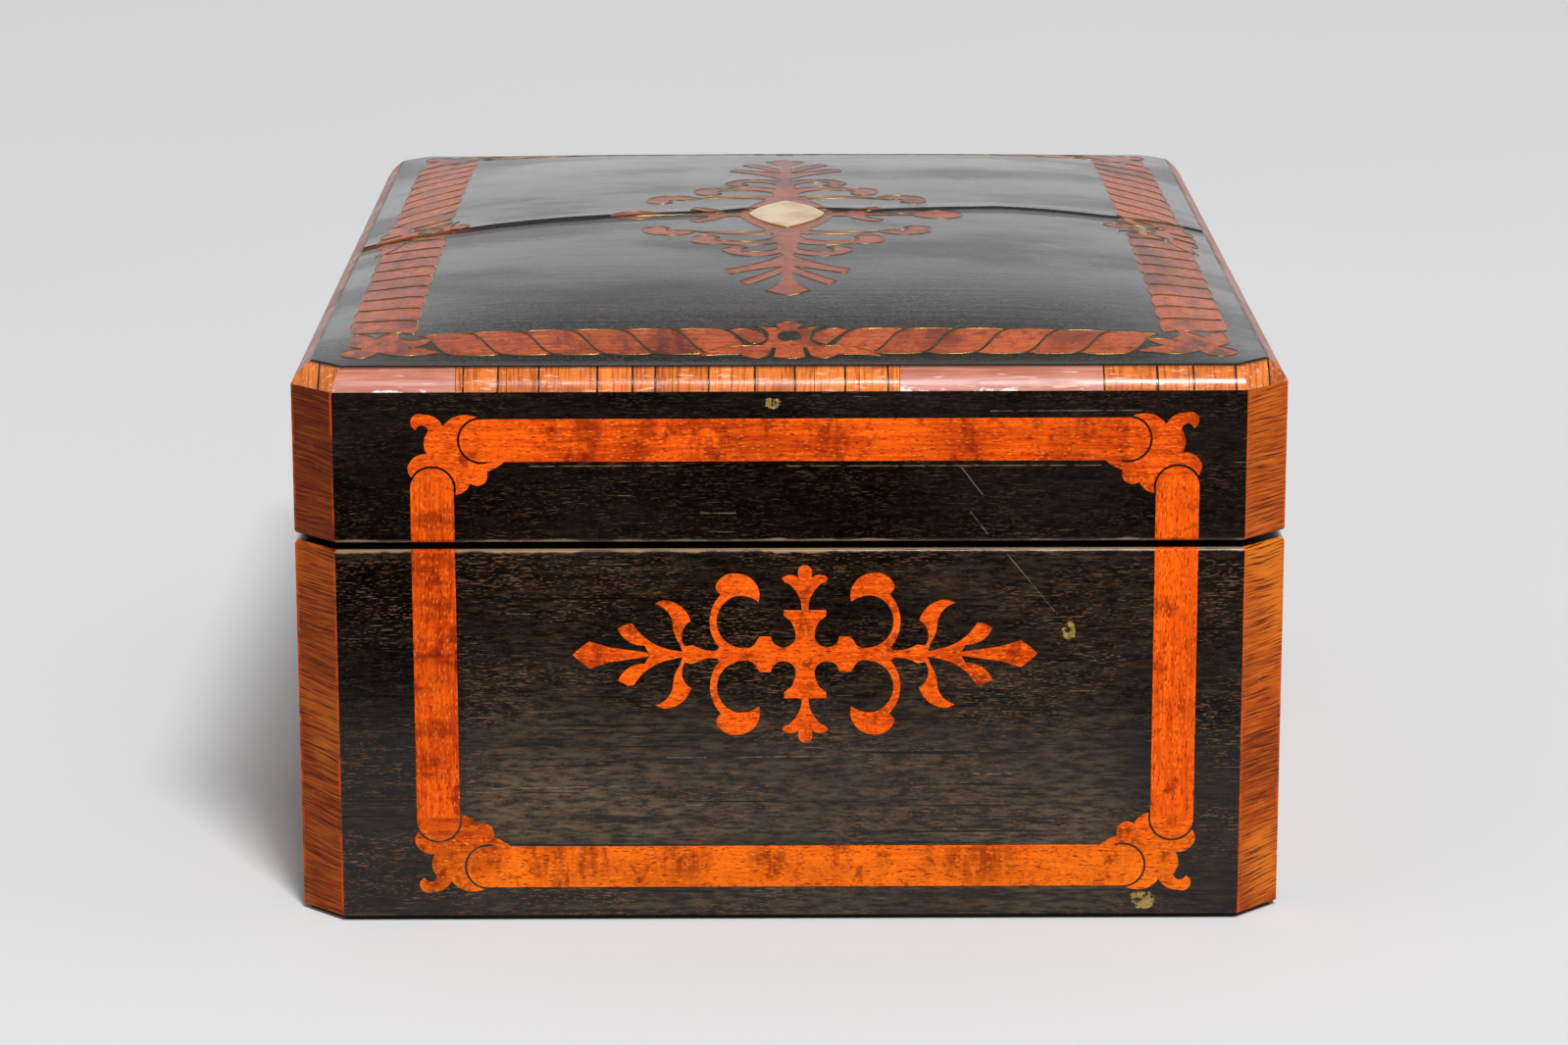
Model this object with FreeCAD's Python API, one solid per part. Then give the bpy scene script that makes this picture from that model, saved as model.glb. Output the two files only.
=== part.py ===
"""Marquetry casket with a hinged domed lid, a box lock and a hidden drawer.

X runs along the length, with the left end at -X. Y runs from the lock side at -Y
to the hinge side at +Y. Z is up, and the origin is the middle of the underside.
All sizes are millimetres.
"""
import FreeCAD, Part
import math
import os

V = FreeCAD.Vector

# Overall form
LENGTH = 270.0
WIDTH = 200.0
CHAMFER = 8.9
BAIZE = 1.2
BASE_SIDE = 76.8
SEAM = 1.5
LID_SIDE = 30.8
BEVEL_RUN = 4.2
BEVEL_RISE = 4.6
BEVEL_CROWN = 0.45
DOME_RISE = 7.6
DOME_SHARE_LONG = 0.2
DOME_SHARE_WIDE = 0.0
DOME_SPREAD = 1.06
EDGE_ROUND = 0.8

# Carcase and veneers
VENEER = 1.0
WALL = 10.0
RIM_VENEER = 0.6
BAIZE_INSET = 1.5
BOTTOM = 7.0
BOTTOM_REBATE = 4.0
LID_BOARD = 8.0
TAIL_COUNT_BASE = 3
TAIL_COUNT_LID = 1
TAIL_SHARE = 0.5
TAIL_SLOPE = 0.15
LINING = 1.2
LINING_DROP = 2.0

# Inlaid frame and arabesque on the sides
BAND = 8.7
FRAME_MARGIN = 12.3
FRAME_LOW = 6.0
FRAME_HIGH = 5.5
FRAME_SHIFT_LEFT_END = 3.0
CORNER_REACH = 14.3
ENGRAVED = 0.45
ARABESQUE_HEIGHT = 55.0

# Lid top inlay
ROPE_MARGIN = 6.0
ROPE_WIDTH = 13.4
ROPE_PITCH = 11.0
ROPE_LEAN = 7.6
ROPE_SWELL = 0.6
ROPE_GAP = 0.5
ROPE_START = 6.0
ROPE_CORNER = 22.0
EYE_CENTRE = 9.3
EYE_RADIUS_ALONG = 2.4
EYE_RADIUS_ACROSS = 3.0
CARTOUCHE_LONG = 17.0
CARTOUCHE_WIDE = 8.5
CARTOUCHE_PROUD = 0.3
CRACK = 0.8
BANDING_PIECE = 8.6
BANDING_JOINT = 0.12
REPAIR_NEAR_BACK = 66.4
REPAIR_START = 22.0
REPAIR_END = 62.5

# Butt hinges
LID_OPEN = 100.0
HINGE_SPACING = 156.0
HINGE_LENGTH = 40.0
LEAF_WIDTH = 10.2
LEAF = 1.2
KNUCKLE_RADIUS = 2.2
KNUCKLES = 5
KNUCKLE_GAP = 0.2
HINGE_ROOM = 0.3
PIN_RADIUS = 0.9
PIN_FIT = 0.05

# Wood screws
SCREW_HEAD = 1.5
SCREW_HEAD_DEPTH = 0.8
SCREW_SHANK = 0.75
SCREW_LENGTH = 7.0
SCREW_SLOT = 0.4
LEAF_SCREW_SPACING = 13.0

# Box lock and link plate
LOCK_LENGTH = 48.0
LOCK_DEPTH = 8.0
LOCK_HEIGHT = 30.0
LOCK_SHEET = 1.0
PLATE = 1.5
PLATE_PROUD = 0.65
PLATE_LUG = 6.0
LINK_SPACING = 24.0
LINK_THICK = 2.0
LINK_WIDTH = 4.0
LINK_LENGTH = 7.0
LINK_EYE_WIDTH = 2.2
LINK_EYE_HEIGHT = 3.0
LINK_EYE_FOOT = 1.5
LINK_ROOM = 0.5
BOLT_TRAVEL = 5.0
BOLT_ROOM = 0.3
BOLT_START = 0.8
BOLT_POST = 2.5
BOLT_SPINE = 5.0
KEYHOLE_DROP = 22.0
KEYHOLE_RADIUS = 1.6
KEYHOLE_SLOT = 1.6
KEYHOLE_LENGTH = 5.0
ESCUTCHEON_WIDE = 5.2
ESCUTCHEON_HIGH = 7.6

# Hidden drawer and its locking pin
DRAWER_WIDTH = 116.0
DRAWER_SILL = 16.6
DRAWER_HEIGHT = 18.6
DRAWER_DEPTH = 150.0
DRAWER_ROOM = 0.4
DRAWER_SIDE = 6.0
DRAWER_BOTTOM = 3.0
RUNNER_LEDGE = 8.0
RUNNER_GUIDE = 6.0
FLOOR = 4.0
FLOOR_GAP = 1.0
PIN_TRAVEL = 6.0
PIN_SHANK = 2.0
PIN_KNOB = 4.5
PIN_KNOB_HEIGHT = 5.0
PIN_ROOM = 0.15
PIN_CLEAR = 0.6

# Levels
Z_RIM = BAIZE + BASE_SIDE
Z_LID = Z_RIM + SEAM
Z_SHOULDER = Z_LID + LID_SIDE
Z_BROW = Z_SHOULDER + BEVEL_RISE
Z_CROWN = Z_BROW + DOME_RISE
Z_BOARD = Z_SHOULDER - LID_BOARD
Z_CARCASE_TOP = Z_RIM - RIM_VENEER
Z_CARCASE_LID = Z_LID + RIM_VENEER
Z_BOTTOM_TOP = BAIZE + BOTTOM
Z_DRAWER_TOP = DRAWER_SILL + DRAWER_HEIGHT
Z_FLOOR = Z_DRAWER_TOP + FLOOR_GAP
Z_FLOOR_TOP = Z_FLOOR + FLOOR
Z_LINING_TOP = Z_FLOOR_TOP + LINING
Z_KEY = Z_RIM - KEYHOLE_DROP
Z_SKY = Z_CROWN + 20.0

# Plan positions
X_OUT = LENGTH / 2 - VENEER
Y_OUT = WIDTH / 2 - VENEER
X_IN = X_OUT - WALL
Y_IN = Y_OUT - WALL
HINGE_SET = (SEAM / 2) / math.tan(math.radians(LID_OPEN / 2))
Y_HINGE = WIDTH / 2 - HINGE_SET
Z_HINGE = Z_RIM + SEAM / 2
Y_LOCK = -Y_IN - LOCK_DEPTH / 2

# Turn about Z that brings the front's frame to each side
SIDE_TURN = {"front": 0, "right": 90, "back": 180, "left": -90}


def box(x0, x1, y0, y1, z0, z1):
    return Part.makeBox(x1 - x0, y1 - y0, z1 - z0, V(x0, y0, z0))


def outline(inset):
    """Corners of the chamfered plan, set in from the outer faces."""
    hx = LENGTH / 2 - inset
    hy = WIDTH / 2 - inset
    c = CHAMFER - inset * (2 - math.sqrt(2))
    return [V(-hx + c, -hy), V(hx - c, -hy), V(hx, -hy + c), V(hx, hy - c),
            V(hx - c, hy), V(-hx + c, hy), V(-hx, hy - c), V(-hx, -hy + c)]


def prism(points, z0, z1):
    wire = Part.makePolygon(points + [points[0]])
    wire.translate(V(0, 0, z0))
    return Part.Face(wire).extrude(V(0, 0, z1 - z0))


def trace(start, *moves):
    """Edges from start on: a move of one point is a line, of two an arc through the first."""
    edges = []
    here = V(*start)
    for move in moves:
        end = V(*move[-1])
        if len(move) == 1:
            edges.append(Part.LineSegment(here, end).toShape())
        else:
            edges.append(Part.Arc(here, V(*move[0]), end).toShape())
        here = end
    return edges


def region(edges):
    return Part.Face(Part.Wire(Part.__sortEdges__(edges)))


def mirrored(shapes, normal):
    return [shape.mirror(V(0, 0, 0), normal) for shape in shapes]


def four_fold(quarter):
    half = quarter + mirrored(quarter, V(1, 0, 0))
    return region(half + mirrored(half, V(0, 1, 0)))


def two_fold(half, normal):
    return region(half + mirrored(half, normal))


def moved(shape, x=0.0, y=0.0, z=0.0):
    copy = shape.copy()
    copy.translate(V(x, y, z))
    return copy


def turned(shape, angle):
    copy = shape.copy()
    copy.rotate(V(0, 0, 0), V(0, 0, 1), angle)
    return copy


def meets(a, b):
    return a.BoundBox.intersect(b.BoundBox)


def carve(shape, cutters):
    """The shape less every cutter whose box reaches it."""
    near = [cutter for cutter in cutters if meets(shape, cutter)]
    return shape.cut(near) if near else shape


def solids_of(shapes):
    return [solid for shape in shapes for solid in shape.Solids]


def half_extent(side):
    """Distance from the middle to the side's face, and half the flat face's width."""
    if side in ("front", "back"):
        return WIDTH / 2, LENGTH / 2 - CHAMFER
    return LENGTH / 2, WIDTH / 2 - CHAMFER


def on_side(face, side):
    """A flat region, drawn as width and height, let into the veneer of one side."""
    depth, half = half_extent(side)
    solid = face.extrude(V(0, 0, -VENEER))
    solid.rotate(V(0, 0, 0), V(1, 0, 0), 90)
    solid.translate(V(0, -depth, 0))
    return turned(solid, SIDE_TURN[side])


# Carcase


def carcase_walls(z0, z1, tail_count):
    """Four walls joined at the corners by dovetails, before any pocket is cut."""
    pitch = (z1 - z0) / tail_count
    root = pitch * TAIL_SHARE / 2
    tip = root + WALL * TAIL_SLOPE
    tails = []
    for index in range(tail_count):
        z = z0 + pitch * (index + 0.5)
        corners = [V(X_IN, Y_IN, z - root), V(X_OUT, Y_IN, z - tip),
                   V(X_OUT, Y_IN, z + tip), V(X_IN, Y_IN, z + root)]
        face = Part.Face(Part.makePolygon(corners + [corners[0]]))
        tails.append(face.extrude(V(0, WALL, 0)))
    right_tails = tails + mirrored(tails, V(0, 1, 0))
    back_tails = tails + mirrored(tails, V(1, 0, 0))
    form = prism(outline(VENEER), z0, z1)
    back = box(-X_IN, X_IN, Y_IN, Y_OUT, z0, z1).fuse(back_tails).common(form)
    right = box(X_IN, X_OUT, -Y_OUT, Y_OUT, z0, z1).cut(right_tails).common(form)
    return {"front": back.mirror(V(0, 0, 0), V(0, 1, 0)), "back": back,
            "left": right.mirror(V(0, 0, 0), V(1, 0, 0)), "right": right}


def rim_facing(z0, z1):
    form = prism(outline(VENEER), z0, z1)
    back = box(-X_OUT, X_OUT, Y_IN, Y_OUT, z0, z1).common(form)
    right = box(X_IN, X_OUT, -Y_IN, Y_IN, z0, z1)
    return [back, back.mirror(V(0, 0, 0), V(0, 1, 0)),
            right, right.mirror(V(0, 0, 0), V(1, 0, 0))]


def wall_linings(z0, z1):
    back = box(-X_IN, X_IN, Y_IN - LINING, Y_IN, z0, z1)
    right = box(X_IN - LINING, X_IN, -Y_IN + LINING, Y_IN - LINING, z0, z1)
    return [back, back.mirror(V(0, 0, 0), V(0, 1, 0)),
            right, right.mirror(V(0, 0, 0), V(1, 0, 0))]


def rounded_form(z0, z1, z_round):
    """The full outline as one block, its outer edge at z_round rubbed round."""
    block = prism(outline(0.0), z0, z1)
    edges = [edge for edge in block.Edges
             if all(abs(vertex.Z - z_round) < 1e-6 for vertex in edge.Vertexes)]
    return block.makeFillet(EDGE_ROUND, edges)


def skin(index, z0, z1):
    """One sheet of side veneer, mitred where it meets its neighbours."""
    outer = outline(0.0)
    inner = outline(VENEER)
    after = (index + 1) % len(outer)
    return prism([outer[index], outer[after], inner[after], inner[index]], z0, z1)


# Inlay of the sides


def upright_band(middle, arc_height, end_height):
    half = BAND / 2
    tip = arc_height + math.copysign(half, arc_height - end_height)
    return region(trace((middle - half, end_height), [(middle - half, arc_height)],
                        [(middle, tip), (middle + half, arc_height)],
                        [(middle + half, end_height)], [(middle - half, end_height)]))


def level_band(left, right, height):
    half = BAND / 2
    return region(trace((left, height - half), [(right, height - half)],
                        [(right + half, height), (right, height + half)],
                        [(left, height + half)],
                        [(left - half, height), (left, height - half)]))


def corner_leaf():
    """Foliate corner at the top left of a frame, its origin at the bands' outer corner."""
    half = BAND / 2
    leaf = region(trace(
        (CORNER_REACH, 0.0),
        [(11.6, 0.85), (9.2, 0.55)], [(7.7, -0.4), (6.8, -1.4)],
        [(5.5, 0.2), (2.9, 0.95)], [(0.5, 0.2), (0.4, -1.3)], [(1.3, -2.2)],
        [(3.0, -1.3), (3.8, -2.5)], [(2.9, -4.8), (3.5, -7.1)],
        [(0.9, -7.8), (-0.45, -9.8)], [(-0.3, -10.8), (0.2, -11.8)],
        [(half, -CORNER_REACH)], [(BAND, -15.4)],
        [(10.7, -14.8), (12.0, -13.1)], [(14.6, -13.2), (15.4, -10.7)],
        [(17.0, -10.0), (18.9, -BAND)], [(CORNER_REACH, -half)], [(CORNER_REACH, 0.0)]))
    far = 2 * CORNER_REACH
    cutters = [Part.Face(Part.Wire(Part.makeCircle(half + ENGRAVED, V(CORNER_REACH, -half)))),
               Part.Face(Part.Wire(Part.makeCircle(half + ENGRAVED, V(half, -CORNER_REACH)))),
               Part.makePlane(far, BAND, V(CORNER_REACH, -BAND)),
               Part.makePlane(BAND, far, V(0, -CORNER_REACH - far))]
    return leaf.cut(cutters).Faces


def corner_leaves(half_frame, shift, height, upward):
    """Both corner leaves at one height: upward is 1 at the top of the frame, -1 at the foot."""
    placed = []
    for across in (1, -1):
        for face in corner_leaf():
            if upward < 0:
                face = face.mirror(V(0, 0, 0), V(0, 1, 0))
            if across < 0:
                face = face.mirror(V(0, 0, 0), V(1, 0, 0))
            placed.append(moved(face, shift - across * half_frame, height))
    return placed


def side_arabesque():
    """Scrolls, leaves and spears round a small pillar, drawn as one quarter about its middle."""
    return four_fold(trace(
        (0.0, 18.5), [(1.1, 18.0), (1.35, 16.7)], [(1.4, 15.9)],
        [(3.2, 16.5), (4.6, 15.8)], [(4.3, 15.2), (3.4, 14.8)],
        [(1.9, 13.2), (0.8, 10.9)], [(0.65, 9.2)], [(4.25, 9.2)], [(4.25, 8.0)], [(2.9, 6.9)],
        [(2.1, 5.2), (1.9, 3.4)], [(3.9, 1.5), (6.7, 2.9)], [(6.85, 3.7)], [(9.1, 3.7)],
        [(9.8, 2.8)], [(10.7, 1.6), (12.2, 1.3)], [(17.8, 6.6), (14.0, 12.1)],
        [(11.5, 12.0), (9.3, 10.9)], [(10.0, 14.9), (13.6, 16.8)], [(16.6, 16.1), (17.9, 14.4)],
        [(17.7, 13.2), (16.9, 12.5)], [(19.2, 6.8), (17.3, 1.5)], [(17.7, 0.8)],
        [(20.2, 0.95), (22.6, 1.95)], [(24.2, 1.7)], [(24.8, 4.4), (23.0, 7.0)],
        [(24.9, 10.0), (28.6, 11.3)], [(30.2, 10.6)], [(27.4, 8.6), (26.6, 6.0)],
        [(26.1, 3.8), (25.2, 2.2)], [(24.7, 0.6)], [(26.8, 0.95), (29.0, 1.6)],
        [(32.3, 3.6), (34.6, 6.4)], [(35.7, 6.5)], [(37.7, 5.4)],
        [(35.9, 3.0), (32.3, 1.9)], [(31.5, 0.4)], [(39.2, 1.5)], [(43.4, 2.8)],
        [(45.2, 1.5), (46.8, 0.0)]))


def side_inlay(side):
    """Flat regions let into one side, for the base and for the lid."""
    depth, half = half_extent(side)
    shift = FRAME_SHIFT_LEFT_END if side == "left" else 0.0
    frame = half - FRAME_MARGIN
    upright = frame - BAND / 2
    foot = BAIZE + FRAME_LOW
    head = Z_SHOULDER - FRAME_HIGH
    reach = frame - CORNER_REACH
    base = [upright_band(shift + across * upright, foot + CORNER_REACH, Z_RIM) for across in (-1, 1)]
    base.append(level_band(shift - reach, shift + reach, foot + BAND / 2))
    base += corner_leaves(frame, shift, foot, -1)
    base.append(moved(side_arabesque(), shift, BAIZE + ARABESQUE_HEIGHT))
    lid = [upright_band(shift + across * upright, head - CORNER_REACH, Z_LID) for across in (-1, 1)]
    lid.append(level_band(shift - reach, shift + reach, head - BAND / 2))
    lid += corner_leaves(frame, shift, head, 1)
    return base, lid


# Lid top


def arch_poles(share, degree):
    """Poles of 1 - share t^2 - (1 - share) t^4 over the spread, as a quartic curve."""
    s = DOME_SPREAD
    square = [s ** 2, 0.0, -s ** 2 / 3, 0.0, s ** 2]
    fourth = [s ** 4, -s ** 4, s ** 4, -s ** 4, s ** 4]
    return [1 - share * square[i] - (1 - share) * fourth[i] for i in range(degree + 1)]


def above_dome(drop):
    """Everything above the domed top, or above that dome lowered by drop."""
    degree = 4
    long_arch = arch_poles(DOME_SHARE_LONG, degree)
    wide_arch = arch_poles(DOME_SHARE_WIDE, degree)
    reach_x = DOME_SPREAD * (LENGTH / 2 - BEVEL_RUN)
    reach_y = DOME_SPREAD * (WIDTH / 2 - BEVEL_RUN)
    poles = []
    for i in range(degree + 1):
        x = reach_x * (2 * i / degree - 1)
        poles.append([V(x, reach_y * (2 * j / degree - 1),
                        Z_BROW - drop + DOME_RISE * long_arch[i] * wide_arch[j])
                      for j in range(degree + 1)])
    surface = Part.BSplineSurface()
    ends = [degree + 1, degree + 1]
    surface.buildFromPolesMultsKnots(poles, ends, ends, [0, 1], [0, 1], False, False, degree, degree)
    return surface.toShape().extrude(V(0, 0, 2 * (Z_SKY - Z_BROW)))


def crack_line():
    """The split across the lid from the hinge side to the lock side, in plan."""
    edge = WIDTH / 2
    return [V(-3.0, edge), V(-7.5, 72.0), V(-4.0, 50.0), V(2.0, 15.0), V(6.0, 8.0), V(6.0, -8.0),
            V(4.0, -20.0), V(10.5, -48.0), V(10.0, -72.0), V(20.0, -edge)]


def crack_gap():
    """The open width of the split, as a plan region."""
    line = crack_line()
    far = [point + V(CRACK, 0) for point in reversed(line)]
    return Part.Face(Part.makePolygon(line + far + [line[0]]))


def left_of_crack():
    line = crack_line()
    corners = line + [V(-LENGTH, line[-1].y), V(-LENGTH, line[0].y)]
    return Part.Face(Part.makePolygon(corners + [corners[0]]))


def column(face, z0, z1):
    return moved(face, z=z0).extrude(V(0, 0, z1 - z0))


def lid_boards():
    """The two boards of the top, parted by the crack."""
    crown = prism(outline(BEVEL_RUN), Z_SHOULDER, Z_SKY).cut(above_dome(VENEER))
    core = prism(outline(VENEER), Z_BOARD, Z_SHOULDER).fuse(crown)
    left_side = column(left_of_crack(), Z_BOARD, Z_SKY)
    gap = column(crack_gap(), Z_BOARD, Z_SKY)
    return core.common(left_side), core.cut([left_side, gap])


def top_shell(proud):
    """The domed veneer as one sheet, its upper face raised by proud."""
    block = prism(outline(BEVEL_RUN), Z_SHOULDER, Z_SKY)
    return block.cut(above_dome(-proud)).common(above_dome(VENEER))


def on_border(face, side):
    """A plan region, drawn from the border's outer edge inwards, carried to one side of the lid."""
    depth, half = half_extent(side)
    return turned(moved(face, 0.0, ROPE_MARGIN + BEVEL_RUN - depth), SIDE_TURN[side])


def strand(start, pitch):
    """One turn of the rope border, between two leaning S curves."""
    first = start + ROPE_GAP / 2
    last = start + pitch - ROPE_GAP / 2

    def lean(at):
        curve = Part.BezierCurve()
        curve.setPoles([V(at, 0), V(at + 0.45 * ROPE_LEAN, 0.12 * ROPE_WIDTH),
                        V(at + 0.55 * ROPE_LEAN, 0.88 * ROPE_WIDTH), V(at + ROPE_LEAN, ROPE_WIDTH)])
        return curve.toShape()

    middle = (first + last) / 2
    foot = Part.Arc(V(first, 0), V(middle, -ROPE_SWELL), V(last, 0)).toShape()
    head = Part.Arc(V(first + ROPE_LEAN, ROPE_WIDTH), V(middle + ROPE_LEAN, ROPE_WIDTH + ROPE_SWELL),
                    V(last + ROPE_LEAN, ROPE_WIDTH)).toShape()
    return region([foot, lean(last), head, lean(first)])


def rosette():
    """Flower at the middle of a border: the pierced body and a drop leaf on each side."""
    body = two_fold(trace(
        (0.0, 18.2), [(2.0, 17.2), (2.3, 14.8)], [(1.7, 13.7)], [(4.2, 14.4), (7.4, 15.4)],
        [(5.2, 13.4), (4.2, 9.4)], [(4.6, 6.0), (6.2, 3.7)], [(13.2, 2.9), (18.4, -1.8)],
        [(14.0, -0.9), (9.6, -0.9)], [(7.0, -2.8), (4.3, -1.4)], [(3.5, 2.7)], [(2.7, 2.4)],
        [(3.2, -2.4)], [(0.0, -2.9)]), V(1, 0, 0))
    eye = Part.Ellipse(V(0, EYE_CENTRE), EYE_RADIUS_ACROSS, EYE_RADIUS_ALONG).toShape()
    eye.rotate(V(0, EYE_CENTRE, 0), V(0, 0, 1), 90)
    body = body.cut(Part.Face(Part.Wire(eye)))
    drop = region(trace((12.0, 13.0), [(6.8, 12.9), (5.1, 9.3)], [(5.5, 5.9), (7.6, 5.0)], [(12.0, 13.0)]))
    return body.Faces + [drop, drop.mirror(V(0, 0, 0), V(1, 0, 0))]


def corner_flower():
    """Palmette in the corner of the border, mirrored about the diagonal."""
    half = trace((0.8, 0.8), [(3.6, -0.5), (6.2, 1.0)], [(7.0, 3.4)], [(9.8, 0.9), (13.8, 0.4)],
                 [(20.0, 1.2)], [(16.4, 4.6), (13.0, 5.4)], [(16.2, 7.4), (17.6, 11.0)],
                 [(14.4, 10.4), (11.8, 11.8)])
    return two_fold(half, V(1, -1, 0))


def lid_arabesque():
    """Long arabesque in the middle of the lid, one quarter: across the lid, then along it."""
    return four_fold(trace(
        (0.0, 87.8), [(4.6, 83.4)], [(1.9, 76.0), (1.0, 67.0)],
        [(4.6, 73.0), (8.6, 78.6)], [(10.2, 75.0)], [(5.2, 68.0), (1.2, 61.0)],
        [(6.4, 64.0), (12.2, 68.4)], [(13.4, 64.0)], [(6.6, 58.0), (0.9, 48.9)], [(1.4, 46.6)],
        [(8.0, 50.2), (13.4, 45.4)], [(12.6, 40.4), (8.6, 41.2)], [(10.0, 44.4), (7.6, 45.4)],
        [(4.2, 44.2), (1.9, 39.4)], [(2.2, 35.4)], [(8.6, 38.0), (14.6, 36.0)],
        [(20.6, 34.4), (21.0, 29.6)], [(18.2, 26.2), (14.8, 28.8)], [(15.8, 31.6), (13.2, 32.6)],
        [(7.4, 33.0), (2.8, 28.0)], [(3.0, 24.6)], [(11.5, 24.9), (20.4, 22.0)],
        [(29.6, 24.6), (32.0, 19.6)], [(30.0, 15.2), (26.0, 16.8)], [(26.8, 19.4), (24.0, 19.4)],
        [(13.0, 22.0), (4.8, 20.6)], [(5.0, 18.4)], [(8.4, 10.4), (10.4, 2.6)], [(13.6, 2.0)],
        [(16.2, 6.8), (20.6, 9.6)], [(21.8, 6.6)], [(18.8, 4.6), (17.6, 1.7)], [(28.6, 1.2)],
        [(34.0, 5.2), (39.8, 0.0)]))


def cartouche():
    return four_fold(trace((0.0, CARTOUCHE_LONG),
                           [(0.66 * CARTOUCHE_WIDE, 0.52 * CARTOUCHE_LONG), (CARTOUCHE_WIDE, 0.0)]))


def let_into_top(faces, shell):
    """Plan regions carried right through the domed veneer."""
    return [column(face, Z_SHOULDER, Z_SKY).common(shell) for face in faces]


def rope_strands():
    strands = []
    for side in SIDE_TURN:
        depth, half = half_extent(side)
        room = half + CHAMFER - BEVEL_RUN - ROPE_MARGIN - ROPE_CORNER - ROPE_START
        count = round(room / ROPE_PITCH)
        pitch = room / count
        for index in range(count):
            face = strand(ROPE_START + index * pitch, pitch)
            strands.append(on_border(face, side))
            strands.append(on_border(face.mirror(V(0, 0, 0), V(1, 0, 0)), side))
    return strands


def border_flowers():
    flowers = [on_border(face, side) for side in SIDE_TURN for face in rosette()]
    inset = BEVEL_RUN + ROPE_MARGIN
    flower = moved(corner_flower(), inset - LENGTH / 2, inset - WIDTH / 2)
    for across in (flower, flower.mirror(V(0, 0, 0), V(1, 0, 0))):
        flowers += [across, across.mirror(V(0, 0, 0), V(0, 1, 0))]
    return flowers


def lid_top_regions():
    """Plan regions of the lid's inlays, and of the dark veneer that is left between them."""
    gap = crack_gap()
    middle = turned(cartouche(), 90)
    scrolls = turned(lid_arabesque(), 90).cut(middle).Faces
    regions = {"lid_rope_border": rope_strands(), "lid_flowers": border_flowers(), "lid_arabesque": scrolls}
    for name, faces in regions.items():
        cutters = [gap] + regions["lid_flowers"] if name == "lid_rope_border" else [gap]
        regions[name] = [part for face in faces for part in carve(face, cutters).Faces]
    regions["lid_cartouche"] = [middle]
    inlay = [face for faces in regions.values() for face in faces]
    rim = outline(BEVEL_RUN)
    regions["lid_top_veneer"] = Part.Face(Part.makePolygon(rim + [rim[0]])).cut(inlay + [gap]).Faces
    return regions


# Bevel of the lid


def bevel_length(index, start, end):
    """The bevel's section carried along one edge of the plan, between two distances from its middle."""
    outer = outline(0.0)
    a = outer[index]
    b = outer[(index + 1) % len(outer)]
    along = (b - a).normalize()
    out = V(along.y, -along.x)
    foot = (a + b) * 0.5 + along * start
    low = foot + V(0, 0, Z_SHOULDER)
    high = foot - out * BEVEL_RUN + V(0, 0, Z_BROW)
    heel = foot - out * BEVEL_RUN + V(0, 0, Z_SHOULDER)
    swell = (low + high) * 0.5 + (out * BEVEL_RISE + V(0, 0, BEVEL_RUN)).normalize() * BEVEL_CROWN
    edges = [Part.Arc(low, swell, high).toShape(), Part.LineSegment(high, heel).toShape(),
             Part.LineSegment(heel, low).toShape()]
    return Part.Face(Part.Wire(edges)).extrude(along * (end - start))


def bevel_wedge(index):
    outer = outline(0.0)
    inner = outline(BEVEL_RUN)
    after = (index + 1) % len(outer)
    return prism([outer[index], outer[after], inner[after], inner[index]], Z_SHOULDER, Z_SKY)


def banding_joints(start, end):
    """Joints of uneven short pieces that fill one stretch."""
    count = max(1, round((end - start) / BANDING_PIECE))
    pitch = (end - start) / count
    inner = [start + pitch * (k + 0.22 * math.sin(2.4 * k)) for k in range(1, count)]
    return [start] + inner + [end]


def lid_banding():
    """Cross-banded pieces of the bevel, and the two plain lengths that replace some of them."""
    pieces = []
    repairs = []
    outer = outline(0.0)
    left_end = 6
    for index in range(len(outer)):
        length = (outer[(index + 1) % len(outer)] - outer[index]).Length
        half = length / 2
        wedge = bevel_wedge(index)
        stretches = [(-half, half, pieces)]
        if index == left_end:
            stretches = [(-half, -REPAIR_NEAR_BACK, repairs), (-REPAIR_NEAR_BACK, REPAIR_START, pieces),
                         (REPAIR_START, REPAIR_END, repairs), (REPAIR_END, half, pieces)]
        for start, end, kept in stretches:
            joints = banding_joints(start, end) if kept is pieces else [start, end]
            for a, b in zip(joints, joints[1:]):
                kept += bevel_length(index, a, b - BANDING_JOINT).common(wedge).Solids
    return pieces, repairs


# Hardware


def screw(x, y, z, upward):
    """Countersunk screw whose head is flush at z and whose shank points up or down."""
    way = V(0, 0, 1 if upward else -1)
    head = Part.makeCone(SCREW_HEAD, SCREW_SHANK, SCREW_HEAD_DEPTH, V(x, y, z), way)
    shank = Part.makeCylinder(SCREW_SHANK, SCREW_LENGTH, V(x, y, z), way)
    return head.fuse(shank).removeSplitter()


def slotted(screws, upward):
    """The same screws with a driver's slot across each head, each turned its own way."""
    cut = []
    for index, body in enumerate(screws):
        room = body.BoundBox
        bar = box(-2 * SCREW_HEAD, 2 * SCREW_HEAD, -SCREW_SLOT / 2, SCREW_SLOT / 2, -SCREW_SLOT, SCREW_SLOT)
        head = room.ZMin if upward else room.ZMax
        cut.append(body.cut(moved(turned(bar, 50.0 * index), room.Center.x, room.Center.y, head)))
    return cut


def hinge_middles():
    return (-HINGE_SPACING / 2, HINGE_SPACING / 2)


def barrel(x, radius, length):
    return Part.makeCylinder(radius, length, V(x, Y_HINGE, Z_HINGE), V(1, 0, 0))


def hinge_screws(upward):
    z = Z_LID if upward else Z_RIM
    y = Y_HINGE - LEAF_WIDTH / 2 - KNUCKLE_RADIUS / 2
    return [screw(middle + step * LEAF_SCREW_SPACING, y, z, upward)
            for middle in hinge_middles() for step in (-1, 0, 1)]


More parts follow.
